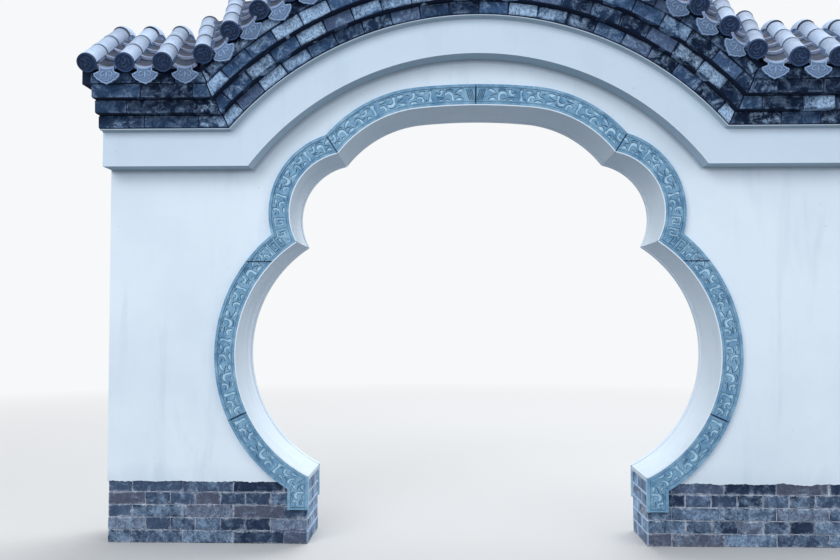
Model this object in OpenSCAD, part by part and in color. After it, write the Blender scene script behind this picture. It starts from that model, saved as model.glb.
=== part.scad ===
// Moon gate: a plastered garden wall on a brick plinth, pierced by a five lobed opening.
// The opening is framed in carved stone, and the wall is roofed with half round tiles
// that follow an arch over the gate and run level on both flanks.
// X runs along the wall, Y through it with the front at -Y, and Z is up.
// The origin is on the ground, midway along the wall and midway through it.

/* [Wall] */
// Length of the whole wall
wall_l = 3790; // [3600:10:4400]
// Thickness of the plastered wall
wall_t = 365; // [240:5:500]
// Height of one brick course in the plinth
plinth_course_h = 65; // [55:1:75]
// Number of brick courses in the plinth
plinth_courses = 5; // [3:1:6]
// Height of the level ledge under the frieze on both flanks
ledge_z = 1920; // [1850:1:1990]

/* [Opening] */
// Radius of the two large lower lobes
lobe_r = 691; // [660:1:720]
// Distance of a lower lobe's centre from the middle of the gate
lobe_x = 544; // [520:1:570]
// Height of a lower lobe's centre
lobe_z = 963; // [930:1:1000]
// Radius of the two small side lobes
side_r = 312; // [300:1:330]
// Distance of a side lobe's centre from the middle of the gate
side_x = 648; // [630:1:670]
// Height of a side lobe's centre above the centre of the tight end beside it
side_rise = 64; // [50:1:80]
// Radius of the tight ends of the top lobe
haunch_r = 605; // [590:1:615]
// Distance of a tight end's centre from the middle of the gate
haunch_x = 232; // [210:1:250]
// Radius of the flat arc between the tight ends
crown_r = 3057; // [2800:1:3400]
// Height of the top of the opening
opening_h = 2245; // [2200:1:2300]
// Half the width between the straight jambs
jamb_half = 855; // [840:1:870]

/* [Stone surround] */
// Width of the stone band
band_w = 105; // [80:1:130]
// How far the band stands out from the wall
band_out = 30; // [20:1:50]
// Width of the raised fillet along each edge of the band
fillet_w = 14; // [8:1:20]
// Depth of the field between the fillets
field_depth = 7; // [3:1:12]
// Height of the foot of the band above the ground
foot_z = 178; // [120:1:220]
// Joint between two stones of the band
stone_joint = 2; // [1:0.5:4]
// Height of the joint below the lower cusp
haunch_joint_z = 1440; // [1400:1:1480]
// Angle below level of the joint at the widest part
foot_joint_angle = 25; // [15:1:35]

/* [Wall top] */
// Radius of the arch that the wall top follows over the gate
arch_r = 1460; // [1430:1:1480]
// Height of wall between the top of the opening and the frieze
crown_cover = 240; // [220:1:260]
// Height of the plastered frieze
frieze_h = 182; // [140:1:200]
// How far the frieze stands out from the wall
frieze_out = 120; // [60:1:150]
// Height of one course of the cornice
cornice_course_h = 67; // [60:1:75]
// How far each course of the cornice steps out
cornice_step = 50; // [30:1:60]
// Number of cornice courses
cornice_courses = 3; // [2:1:4]

/* [Roof] */
// Slope of the roof
roof_slope = 30.5; // [25:0.5:36]
// Distance of the tile ends from the middle of the wall
eave_y = 520; // [500:1:560]
// Height of the tile rows' axes at the eave above the top of the cornice
eave_rise = 91; // [85:1:110]
// Radius of the cover tiles
cover_r = 48; // [40:1:52]
// Height of a cover tile's axis above the bed
cover_seat = 42; // [35:1:50]
// Radius at which a cover tile's axis rolls over the ridge
ridge_r = 120; // [100:1:140]
// Distance between the tile rows on the level flanks, at the ridge
flank_pitch = 160; // [150:1:175]
// How much further apart those rows stand at the eave
flank_spread = 25; // [0:1:30]
// Distance between the tile rows on the arch, at the eave
arch_pitch = 172; // [165:1:178]
// Share of a row's angle at the eave that it keeps at the ridge
row_fan = 0.92; // [0.85:0.01:1]
// Overhang of the roof past the ends of the wall
verge = 50; // [48:1:80]
// Joint between the tiles of a slope and the saddle tile on the ridge
ridge_joint = 4; // [2:1:10]
// Clear width between a pan tile and the cover tiles beside it
pan_gap = 2; // [1:0.5:4]
// Thickness of a pan tile at its middle
pan_t = 12; // [8:1:16]
// Radius of the hollow of a pan tile
pan_r = 75; // [60:1:90]
// Thickness of the drip tiles' plates and of the end caps
plate_t = 12; // [8:1:16]
// Width of the raised rim of an end cap
rim_w = 7; // [4:1:12]
// Depth of an end cap's face behind its rim
rim_h = 4; // [2:1:6]
// Width of a drip tile's plate between its corners
drip_w = 132; // [110:1:136]
// Depth of the plate's corners below the axes of the rows
drip_corner = 54; // [52:1:60]
// Depth of the plate's point below the axes of the rows
drip_h = 106; // [90:1:110]
// Depth of the plate's cheeks, between the corners and the point
drip_cheek = 86; // [75:1:90]
// Distance of the plate's face behind the eave line
drip_set = 8; // [6:1:12]

/* [Hidden] */
$fn = 256;
small = 64;
front = -1;
back = 1;
left = -1;
right = 1;
far = 3000;
plinth_h = plinth_course_h * plinth_courses;
half_l = wall_l / 2;
half_t = wall_t / 2;
haunch_z = opening_h - crown_r + sqrt(pow(crown_r - haunch_r, 2) - pow(haunch_x, 2));
side_z = haunch_z + side_rise;
arch_z = opening_h + crown_cover - arch_r;
cornice_h = frieze_h + cornice_courses * cornice_course_h;
bed_y = half_t + frieze_out + cornice_courses * cornice_step;
eave_h = cornice_h + eave_rise;
ridge_h = eave_h + eave_y * tan(roof_slope) - ridge_r / cos(roof_slope);
bed_r = ridge_r - cover_seat;
row_l = eave_y / cos(roof_slope) - ridge_r * tan(roof_slope);
eave_r = arch_r + eave_h;
crest_r = arch_r + ridge_h + ridge_r;
flank_pan_w = flank_pitch - 2 * (cover_r + pan_gap);
arch_pan_w = arch_pitch - 2 * (cover_r + pan_gap);
// The rows on the arch: the last one on each side lies in the valley
row_angle = 2 * asin(arch_pitch / (2 * eave_r));
valley_angle = acos((ledge_z + eave_h - arch_z) / eave_r);
arch_rows = floor(valley_angle / row_angle + 0.5);
last_angle = arch_row_angle(arch_rows - 1);
last_eave_x = row_edge_x(eave_r, last_angle);
last_ridge_x = row_edge_x(crest_r, last_angle * row_fan);
// The rows on each flank fill what is left of the ridge
flank_rows = floor((half_l - last_ridge_x - 2 * cover_r) / flank_pitch) + 1;
lobe_c = [lobe_x, lobe_z];
side_c = [side_x, side_z];
haunch_c = [haunch_x, haunch_z];
lower_cusp = meet(lobe_c, lobe_r, side_c, side_r);
upper_cusp = meet(side_c, side_r, haunch_c, haunch_r);
upper_cusp_out = meet(side_c, side_r + band_w, haunch_c, haunch_r + band_w);
crown_c = [0, opening_h - crown_r];
crown_u = (haunch_c - crown_c) / norm(haunch_c - crown_c);

// Where two circles meet, on the right of the way from the first centre to the second
function meet(a, ra, b, rb) =
    let (d = norm(b - a), u = (b - a) / d, k = (d * d + ra * ra - rb * rb) / (2 * d))
    a + k * u + sqrt(ra * ra - k * k) * [u.y, -u.x];

// Height of the bed's slope above the ledge, at a distance from the middle of the wall
function bed_h(y) = eave_h + (eave_y - y) * tan(roof_slope) - cover_seat / cos(roof_slope);

// How far a row at this angle turns on the slope, so that it fans less than the arch does
function skew(angle) = atan(crest_r * sin(angle * (1 - row_fan)) / row_l);

// How far a row turns on the slope when its top lies this far to the left of its foot
function lean(shift) = atan(shift / row_l);

function arch_row_angle(i) = (i + 0.5) * row_angle;

// The outer edge of a row at this angle, with its axis on an arc of radius r
function row_edge_x(r, angle) = r * sin(angle) + cover_r * cos(angle);

// The rows on a flank, counted from the end of the wall
function flank_ridge_x(i) = half_l - i * flank_pitch;

function flank_eave_x(i) = half_l - i * (flank_pitch + flank_spread);

// Stands an outline drawn in X and Z up as a slab from y0 to y1
module slab(y0, y1) {
    translate([0, y1, 0]) rotate([90, 0, 0]) linear_extrude(y1 - y0) children();
}

// Everything is drawn for the right side and the front, and mirrored for the others
module on_side(side) {
    mirror([side == left ? 1 : 0, 0, 0]) children();
}

module on_face(face) {
    mirror([0, face == back ? 1 : 0, 0]) children();
}

// The opening's outline, or the same outline a distance d outside it
module opening(d = 0) {
    crown_end = haunch_c + (haunch_r + d + band_w) * crown_u;
    for (s = [left, right]) {
        translate([s * lobe_x, lobe_z]) circle(lobe_r + d);
        translate([s * side_x, side_z]) circle(side_r + d);
        translate([s * haunch_x, haunch_z]) circle(haunch_r + d);
    }
    intersection() {
        translate(crown_c) circle(crown_r + d);
        polygon([[-haunch_x, haunch_z], haunch_c, crown_end, [-crown_end.x, crown_end.y]]);
    }
    translate([-jamb_half - d, -far]) square([2 * (jamb_half + d), far + lobe_z]);
}

// The wall under the level ledge and under the arch
module wall_face() {
    difference() {
        union() {
            translate([-half_l, 0]) square([wall_l, ledge_z]);
            intersection() {
                translate([0, arch_z]) circle(arch_r);
                translate([-far, arch_z]) square([2 * far, far]);
            }
        }
        opening();
    }
}

// The wall between two heights, from x0 to the right
module wall_part(z0, z1, x0 = 0) {
    slab(-half_t, half_t) intersection() {
        wall_face();
        translate([x0, z0]) square([2 * far, z1 - z0]);
    }
}

module plinth(side) {
    color("#5f666c") on_side(side) wall_part(0, plinth_h);
}

module lower_wall(side) {
    color("#dfe6ec") on_side(side) wall_part(plinth_h, lower_cusp.y);
}

module shoulder_wall(side) {
    color("#dfe6ec") on_side(side) wall_part(lower_cusp.y, upper_cusp.y);
}

module crown_wall() {
    color("#dfe6ec") wall_part(upper_cusp.y, far, -far);
}

// A level layer on the right flank, between two heights above the ledge
module flank_layer(h0, h1, y) {
    slab(-y, y) difference() {
        translate([0, ledge_z + h0]) square([half_l, h1 - h0]);
        translate([0, arch_z]) circle(arch_r + h1);
    }
}

// The same layer where it follows the arch
module arch_layer(h0, h1, y) {
    slab(-y, y) difference() {
        translate([0, arch_z]) circle(arch_r + h1);
        translate([0, arch_z]) circle(arch_r + h0);
        translate([-far, ledge_z + h0 - 2 * far]) square([2 * far, 2 * far]);
    }
}

module frieze(side) {
    color("#e6ecf0") on_side(side) flank_layer(0, frieze_h, half_t + frieze_out);
}

module arch_frieze() {
    color("#e6ecf0") arch_layer(0, frieze_h, half_t + frieze_out);
}

module cornice(side) {
    color("#4c5866") on_side(side) for (i = [1 : cornice_courses])
        flank_layer(frieze_h + (i - 1) * cornice_course_h, frieze_h + i * cornice_course_h,
            half_t + frieze_out + i * cornice_step);
}

module arch_cornice() {
    color("#4c5866") for (i = [1 : cornice_courses])
        arch_layer(frieze_h + (i - 1) * cornice_course_h, frieze_h + i * cornice_course_h,
            half_t + frieze_out + i * cornice_step);
}

// The bed's cross section, with the height above the ledge along the first axis
module bed_section() {
    polygon(concat(
        [[cornice_h, -bed_y], [bed_h(bed_y), -bed_y]],
        [for (a = [-roof_slope : roof_slope / 4 : roof_slope])
            [ridge_h + bed_r * cos(a), bed_r * sin(a)]],
        [[bed_h(bed_y), bed_y], [cornice_h, bed_y]]
    ));
}

// The bed turned about the arch's centre, filled down to that centre if whole
module arch_bed_turn(whole) {
    translate([0, 0, arch_z]) rotate([90, 0, 0]) rotate_extrude() {
        translate([arch_r, 0]) bed_section();
        if (whole) translate([0, -bed_y]) square([arch_r + cornice_h, 2 * bed_y]);
    }
}

module flank_bed() {
    difference() {
        translate([0, 0, ledge_z]) rotate([0, -90, 0])
            translate([0, 0, -half_l - verge]) linear_extrude(half_l + verge) bed_section();
        arch_bed_turn(true);
    }
}

module roof_bed(side) {
    color("#7d8791") on_side(side) flank_bed();
}

module arch_roof_bed() {
    color("#7d8791") difference() {
        arch_bed_turn(false);
        translate([-far, -far, ledge_z + cornice_h - 2 * far]) cube(2 * far);
    }
}

// A cover tile's section: half round above its axis, with straight sides down to the bed
module cover_section() {
    intersection() {
        circle(cover_r, $fn = small);
        translate([-cover_r, 0]) square([2 * cover_r, cover_r]);
    }
    translate([-cover_r, -cover_seat]) square([2 * cover_r, cover_seat]);
}

// A pan tile's section: flat on the bed below and hollow above
module pan_section(w) {
    edge = pan_t + pan_r - sqrt(pow(pan_r, 2) - pow(w / 2, 2));
    difference() {
        translate([-w / 2, -cover_seat]) square([w, edge]);
        translate([0, pan_t + pan_r - cover_seat]) circle(pan_r, $fn = small);
    }
}

// Where a row's axis starts at the front eave, with Y up the slope and Z away from the bed
module at_eave(turn = 0) {
    translate([0, -eave_y, eave_h]) rotate([roof_slope, 0, 0]) rotate([0, 0, turn]) children();
}

// From there, upright again
module hang() {
    rotate([-roof_slope, 0, 0]) children();
}

// A row of tiles up one slope, running on past the ridge. A row of pan tiles is cut upright
// at its foot, against the back of the drip tile's plate
module slope_run(turn, cut_foot) {
    at_eave(turn) difference() {
        translate([0, eave_y, 0]) rotate([90, 0, 0])
            linear_extrude(eave_y + (cut_foot ? cover_seat : 0)) children();
        if (cut_foot) hang() translate([-far, drip_set + plate_t - 2 * far, -far]) cube(2 * far);
    }
}

// All that lies past the top of a slope
module past_slope() {
    at_eave() translate([-far, row_l - ridge_joint, -far]) cube(2 * far);
}

// The same section rolled over the ridge
module ridge_roll() {
    translate([0, 0, ridge_h]) rotate([0, 90, 0]) rotate([0, 0, 180 - roof_slope])
        rotate_extrude(angle = 2 * roof_slope) translate([ridge_r, 0]) rotate(-90) children();
}

// A place on the arch, with the heights above the ledge as on the flanks
module on_arch(angle) {
    translate([0, 0, arch_z]) rotate([0, angle, 0]) translate([0, 0, arch_r]) children();
}

module on_flank(x) {
    translate([x, 0, ledge_z]) children();
}

// One row over the arch: both slopes from the eave and the saddle on the ridge
module arch_row(angle, cut_foot = false) {
    for (face = [front, back]) on_face(face) difference() {
        on_arch(angle) slope_run(skew(angle), cut_foot) children();
        on_arch(angle * row_fan) past_slope();
    }
    on_arch(angle * row_fan) ridge_roll() children();
}

module flank_row(eave_x, ridge_x, cut_foot = false) {
    for (face = [front, back]) on_face(face) difference() {
        on_flank(eave_x) slope_run(lean(eave_x - ridge_x), cut_foot) children();
        on_flank(ridge_x) past_slope();
    }
    on_flank(ridge_x) ridge_roll() children();
}

module cover_tiles(side) {
    color("#aab4bf") on_side(side) for (i = [0 : flank_rows - 1])
        flank_row(flank_eave_x(i), flank_ridge_x(i)) cover_section();
}

module arch_cover_tiles() {
    color("#aab4bf") for (side = [left, right]) on_side(side) {
        for (i = [0 : arch_rows - 2])
            arch_row(arch_row_angle(i)) cover_section();
        difference() {
            arch_row(arch_row_angle(arch_rows - 1)) cover_section();
            flank_bed();
        }
    }
}

// The run of pans in the valley, midway between the last rows of the flank and of the arch
valley_eave_x = (last_eave_x + flank_eave_x(flank_rows - 1) - cover_r) / 2;
valley_ridge_x = (last_ridge_x + flank_ridge_x(flank_rows - 1) - cover_r) / 2;
valley_pan_w = min(flank_pan_w, flank_ridge_x(flank_rows - 1) - cover_r - last_ridge_x - 2 * pan_gap);

module pan_tiles(side) {
    color("#98a3ae") on_side(side) {
        for (i = [0.5 : flank_rows - 1])
            flank_row(flank_eave_x(i), flank_ridge_x(i), true) pan_section(flank_pan_w);
        difference() {
            flank_row(valley_eave_x, valley_ridge_x, true) pan_section(valley_pan_w);
            arch_bed_turn(true);
        }
    }
}

module arch_pan_tiles() {
    color("#98a3ae") for (i = [1 - arch_rows : arch_rows - 1])
        arch_row(i * row_angle, true) pan_section(arch_pan_w);
}

// The plate that hangs at the foot of a pan tile: as wide as the pan where it closes its end,
// then wider, with a point below
module drip_plate(w) {
    cheek = drip_w / 4;
    polygon([
        [-w / 2, 0], [-w / 2, -cover_seat], [-drip_w / 2, -drip_corner], [-cheek, -drip_cheek],
        [0, -drip_h], [cheek, -drip_cheek], [drip_w / 2, -drip_corner], [w / 2, -cover_seat], [w / 2, 0]
    ]);
}

// It hangs upright, and its top follows the pan's hollow
module drip_tile(w) {
    hollow_z = pan_t + pan_r - cover_seat;
    rim_z = hollow_z - sqrt(pow(pan_r, 2) - pow(w / 2, 2));
    difference() {
        hang() slab(drip_set, drip_set + plate_t) drip_plate(w);
        slab(-far, far) translate([0, hollow_z]) circle(pan_r, $fn = small);
        translate([-far, -far, rim_z]) cube(2 * far);
    }
}

module drip_tiles(face) {
    color("#8d95a6") on_face(face) {
        for (i = [1 - arch_rows : arch_rows - 1])
            on_arch(i * row_angle) at_eave(skew(i * row_angle)) drip_tile(arch_pan_w);
        for (side = [left, right]) on_side(side) {
            for (i = [0.5 : flank_rows - 1])
                on_flank(flank_eave_x(i)) at_eave(lean(-i * flank_spread)) drip_tile(flank_pan_w);
            on_flank(valley_eave_x) at_eave(lean(valley_eave_x - valley_ridge_x)) drip_tile(valley_pan_w);
        }
    }
}

// The round cap that closes the foot of a cover row, with a raised rim
module end_cap() {
    rotate([90, 0, 0]) rotate_extrude($fn = small) {
        square([cover_r, plate_t - rim_h]);
        translate([cover_r - rim_w, 0]) square([rim_w, plate_t]);
    }
}

module end_caps(face) {
    color("#2c3646") on_face(face) for (side = [left, right]) on_side(side) {
        for (i = [0 : arch_rows - 1])
            on_arch(arch_row_angle(i)) at_eave(skew(arch_row_angle(i))) end_cap();
        for (i = [0 : flank_rows - 1])
            on_flank(flank_eave_x(i)) at_eave(lean(-i * flank_spread)) end_cap();
    }
}

// The whole band on the front, with its field sunk between two fillets
module band() {
    face_y = -half_t - band_out;
    difference() {
        slab(face_y, -half_t) difference() {
            opening(band_w);
            opening();
        }
        slab(face_y - 1, face_y + field_depth) difference() {
            opening(band_w - fillet_w);
            opening(fillet_w);
        }
        translate([-far, -far, foot_z - 2 * far]) cube(2 * far);
    }
}

// A stone of the band: what lies inside an outline drawn in X and Z
module stone(face, side, tone) {
    color(tone) on_face(face) on_side(side) intersection() {
        band();
        slab(-half_t - 2 * band_out, -half_t) children();
    }
}

// A point on the line through both upper cusps, well past the band on either side
function cusp_line(k) = upper_cusp + k * (upper_cusp_out - upper_cusp);

foot_joint_u = [cos(foot_joint_angle), -sin(foot_joint_angle)];
half_joint = stone_joint / 2;

module crown_stone(face, side) {
    stone(face, side, "#6f8ba3") polygon([
        [half_joint, upper_cusp.y - band_w], cusp_line(-1) - [half_joint, 0],
        cusp_line(3) - [half_joint, 0], [cusp_line(3).x, 2 * far], [half_joint, 2 * far]
    ]);
}

module shoulder_stone(face, side) {
    stone(face, side, "#6f8ba3") polygon([
        cusp_line(-1) + [half_joint, 0], cusp_line(3) + [half_joint, 0], [far, cusp_line(3).y],
        [far, haunch_joint_z + half_joint], [cusp_line(-1).x, haunch_joint_z + half_joint]
    ]);
}

module haunch_stone(face, side) {
    stone(face, side, "#6f8ba3") polygon([
        lobe_c, lobe_c + far * foot_joint_u + [0, half_joint],
        [far, haunch_joint_z - half_joint], [lobe_x, haunch_joint_z - half_joint]
    ]);
}

module foot_stone(face, side) {
    stone(face, side, "#6f8ba3") polygon([
        lobe_c - [0, half_joint], lobe_c + far * foot_joint_u - [0, half_joint], [far, -far], [lobe_x, -far]
    ]);
}

plinth(left);  // left_plinth
plinth(right);  // right_plinth
lower_wall(left);  // left_wall
lower_wall(right);  // right_wall
shoulder_wall(left);  // left_shoulder_wall
shoulder_wall(right);  // right_shoulder_wall
crown_wall();
frieze(left);  // left_frieze
frieze(right);  // right_frieze
arch_frieze();
cornice(left);  // left_cornice
cornice(right);  // right_cornice
arch_cornice();
roof_bed(left);  // left_roof_bed
roof_bed(right);  // right_roof_bed
arch_roof_bed();
pan_tiles(left);  // left_pan_tiles
pan_tiles(right);  // right_pan_tiles
arch_pan_tiles();
cover_tiles(left);  // left_cover_tiles
cover_tiles(right);  // right_cover_tiles
arch_cover_tiles();
drip_tiles(front);  // front_drip_tiles
drip_tiles(back);  // back_drip_tiles
end_caps(front);  // front_end_caps
end_caps(back);  // back_end_caps
crown_stone(front, left);  // front_left_crown_stone
crown_stone(front, right);  // front_right_crown_stone
shoulder_stone(front, left);  // front_left_shoulder_stone
shoulder_stone(front, right);  // front_right_shoulder_stone
haunch_stone(front, left);  // front_left_haunch_stone
haunch_stone(front, right);  // front_right_haunch_stone
foot_stone(front, left);  // front_left_foot_stone
foot_stone(front, right);  // front_right_foot_stone
crown_stone(back, left);  // back_left_crown_stone
crown_stone(back, right);  // back_right_crown_stone
shoulder_stone(back, left);  // back_left_shoulder_stone
shoulder_stone(back, right);  // back_right_shoulder_stone
haunch_stone(back, left);  // back_left_haunch_stone
haunch_stone(back, right);  // back_right_haunch_stone
foot_stone(back, left);  // back_left_foot_stone
foot_stone(back, right);  // back_right_foot_stone
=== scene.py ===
"""Moon gate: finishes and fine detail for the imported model."""

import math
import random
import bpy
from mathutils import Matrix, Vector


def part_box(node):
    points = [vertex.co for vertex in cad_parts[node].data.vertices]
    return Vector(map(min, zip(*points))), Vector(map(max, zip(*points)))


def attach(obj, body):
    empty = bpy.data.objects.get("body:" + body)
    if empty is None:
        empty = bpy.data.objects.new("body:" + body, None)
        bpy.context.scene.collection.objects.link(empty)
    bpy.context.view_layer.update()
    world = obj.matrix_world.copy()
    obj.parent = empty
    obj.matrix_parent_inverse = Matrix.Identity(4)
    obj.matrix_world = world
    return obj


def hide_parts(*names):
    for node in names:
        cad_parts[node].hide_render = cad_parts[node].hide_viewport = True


bl_info = {
    "name": "Moon gate",
    "version": (1, 0, 0),
    "blender": (4, 5, 0),
    "location": "3D View > Sidebar > Moon gate",
    "description": "Dresses a walled moon gate with bricks, tiles, plaster and carved stone",
    "category": "Object",
}

import bmesh
import bpy
from bpy.props import FloatProperty, FloatVectorProperty, IntProperty, PointerProperty
from mathutils import Matrix, Vector, noise

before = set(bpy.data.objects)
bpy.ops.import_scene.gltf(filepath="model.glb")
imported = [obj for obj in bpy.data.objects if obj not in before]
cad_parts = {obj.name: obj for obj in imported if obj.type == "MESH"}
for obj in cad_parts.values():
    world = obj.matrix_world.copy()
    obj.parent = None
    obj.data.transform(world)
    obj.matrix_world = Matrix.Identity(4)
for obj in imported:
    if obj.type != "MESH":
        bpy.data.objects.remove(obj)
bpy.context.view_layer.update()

# The wall, in metres
HALF_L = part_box("right_wall")[1][0]
HALF_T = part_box("right_wall")[1][1]
PLINTH_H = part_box("right_plinth")[1][2]
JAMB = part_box("right_plinth")[0][0]
PLINTH_COURSES = 5
COURSE_H = PLINTH_H / PLINTH_COURSES
LEDGE_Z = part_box("right_frieze")[0][2]

# The arch that the top of the wall follows
ARCH_Z = 1.025
ARCH_R = 1.460
FRIEZE_H = 0.182
FRIEZE_Y = HALF_T + 0.120
CORNICE_COURSE = 0.067
CORNICE_STEP = 0.050
CORNICE_COURSES = 3
CORNICE_DEPTH = 0.110
MITRE_GAP = 0.004
CORNICE_H = FRIEZE_H + CORNICE_COURSES * CORNICE_COURSE

# The roof
SLOPE = math.radians(30.5)
EAVE_Y = 0.520
EAVE_H = CORNICE_H + 0.091
RIDGE_R = 0.120
COVER_R = 0.048
COVER_THICK = 0.012
SEAT = 0.042
PLATE = 0.012
RIDGE_GAP = 0.003
RIDGE_H = EAVE_H + EAVE_Y * math.tan(SLOPE) - RIDGE_R / math.cos(SLOPE)
ROW_L = EAVE_Y / math.cos(SLOPE) - RIDGE_R * math.tan(SLOPE)
EAVE_R = ARCH_R + EAVE_H
CREST_R = ARCH_R + RIDGE_H + RIDGE_R
ARCH_ROWS = 9
ROW_ANGLE = 2 * math.asin(0.172 / (2 * EAVE_R))
ROW_FAN = 0.92
FLANK_ROWS = 3
FLANK_PITCH = 0.160
FLANK_SPREAD = 0.025

# The five lobed opening and its stone band
LOBE_C, LOBE_R = Vector((0.544, 0.963)), 0.691
SIDE_C, SIDE_R = Vector((0.648, 1.693)), 0.312
HAUNCH_C, HAUNCH_R = Vector((0.232, 1.629)), 0.605
CROWN_R = 3.057
CROWN_C = Vector((0, 2.245 - CROWN_R))
BAND_W = 0.105
HALF_BAND = BAND_W / 2
BAND_FACE = HALF_T + 0.030
FIELD_DEPTH = 0.007
FILLET_W = 0.014
FOOT_Z = 0.178
HAUNCH_JOINT_Z = 1.440
FOOT_JOINT_ANGLE = 25
MITRE = 0.05
STRAIGHT = 100  # the radius of an arc that is as good as straight

# The photograph's camera, in pixels, and the pale studio behind the gate
PHOTO_WIDTH = 840
PHOTO_FOCAL = 913.4
BACKDROP = (0.93, 0.94, 0.95, 1)

TURN_BACK = Matrix.Rotation(math.pi, 4, "Z")
BOTH_FACES = (Matrix(), TURN_BACK)


def shift(x=0.0, y=0.0, z=0.0):
    return Matrix.Translation((x, y, z))


def turn(angle, axis):
    return Matrix.Rotation(angle, 4, axis)


def stretch(x, y, z):
    return Matrix.Diagonal((x, y, z, 1))


def linear(red, green, blue):
    """A screen colour from 0 to 255, as the light it stands for."""
    shares = (red / 255, green / 255, blue / 255)
    return tuple(((c + 0.055) / 1.055) ** 2.4 if c > 0.04045 else c / 12.92 for c in shares)


def swatch(label, about, red, green, blue):
    return FloatVectorProperty(
        name=label, description=about, subtype="COLOR", size=3, min=0, max=1,
        default=linear(red, green, blue),
    )


def span(label, about, value):
    return FloatProperty(
        name=label, description=about, unit="LENGTH", subtype="DISTANCE", min=0, default=value
    )


class GateColours(bpy.types.PropertyGroup):
    plaster: swatch("Plaster", "Limewashed plaster of the wall and its reveals", 213, 226, 238)
    # Darker than the wall's plaster: painted shade under the eave
    frieze: swatch("Frieze", "Plaster of the frieze", 194, 211, 227)
    plaster_shade: swatch("Plaster stain", "Thin stains on the plaster", 178, 196, 212)
    # Damp spots, and painted shade on the plaster's undersides
    damp_and_underside_shade: swatch("Damp plaster", "Plaster on undersides", 152, 172, 186)
    # Painted shade: a dark line on the wall just under the ledge
    painted_ledge_shade: swatch("Ledge line", "Dirt on the wall close under the ledge", 84, 100, 116)
    stone: swatch("Stone", "Raised carving of the surround", 78, 124, 160)
    stone_ground: swatch("Stone ground", "Sunk ground of the carving", 176, 216, 240)
    # Painted shade in the carving's hollows; also the dark joints and tool marks
    stone_shadow: swatch("Stone shadow", "Dirt in the carving's edges and the stones' joints", 40, 66, 94)
    brick: swatch("Brick", "Grey bricks of the plinth", 74, 92, 120)
    brick_dark: swatch("Dark brick", "Darkest bricks of the plinth", 28, 42, 66)
    brick_warm: swatch("Brown brick", "A few brownish bricks of the plinth", 90, 84, 94)
    mortar: swatch("Mortar", "Lime mortar between the bricks", 206, 217, 232)
    cornice: swatch("Cornice brick", "Bricks of the cornice", 62, 94, 134)
    cornice_dark: swatch("Wet brick", "Darkest bricks of the cornice", 8, 24, 48)
    # Pale worn edges, partly a painted highlight
    pale_wear_and_highlight: swatch("Worn edge", "Pale worn edges of the cornice's bricks", 120, 146, 180)
    salt: swatch("Salt", "White bloom on the bricks", 168, 200, 234)
    # Painted shade with some grime: in hollows, under the tiles' laps, and in the near-black cornice
    # mortar and roof bed
    shade_and_grime: swatch("Soot", "Grime in joints and hollows", 26, 36, 56)
    cover: swatch("Cover tile", "Half round tiles", 178, 198, 226)
    pan: swatch("Pan tile", "Hollow tiles between the rows", 146, 160, 190)
    drip: swatch("Drip tile", "Hanging plates at the eave", 132, 160, 198)
    cap: swatch("End cap", "Round caps at the foot of the rows", 46, 70, 108)
    bed: swatch("Roof mortar", "Mortar under the tiles", 158, 172, 196)


class GateSizes(bpy.types.PropertyGroup):
    brick: span("Brick", "Length of a stretcher in the plinth", 0.245)
    header: span("Header", "Width of a header in the plinth", 0.120)
    joint: span("Joint", "Width of the mortar joints", 0.006)
    recess: span("Recess", "Depth of the plinth's bricks behind the plaster", 0.005)
    cornice_brick: span("Cornice brick", "Length of a brick over the arch", 0.145)
    cornice_flank: span("Level cornice brick", "Length of a brick on the flanks", 0.250)
    proud: span("Proud", "How far the cornice's bricks stand out of their mortar", 0.005)
    cover: span("Cover tile", "Length of a cover tile that shows", 0.178)
    pan: span("Pan tile", "Length of a pan tile that shows", 0.130)
    seed: IntProperty(name="Seed", description="Draws the small differences", min=1, default=7)


def colour(name):
    return (*getattr(bpy.context.scene.gate_colours, name), 1.0)


def begin(context):
    """Seeds the noise, which goes by the clock otherwise, and hands over the sizes."""
    sizes = context.scene.gate_sizes
    noise.seed_set(sizes.seed)
    return sizes


# ---- Finishes


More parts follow.
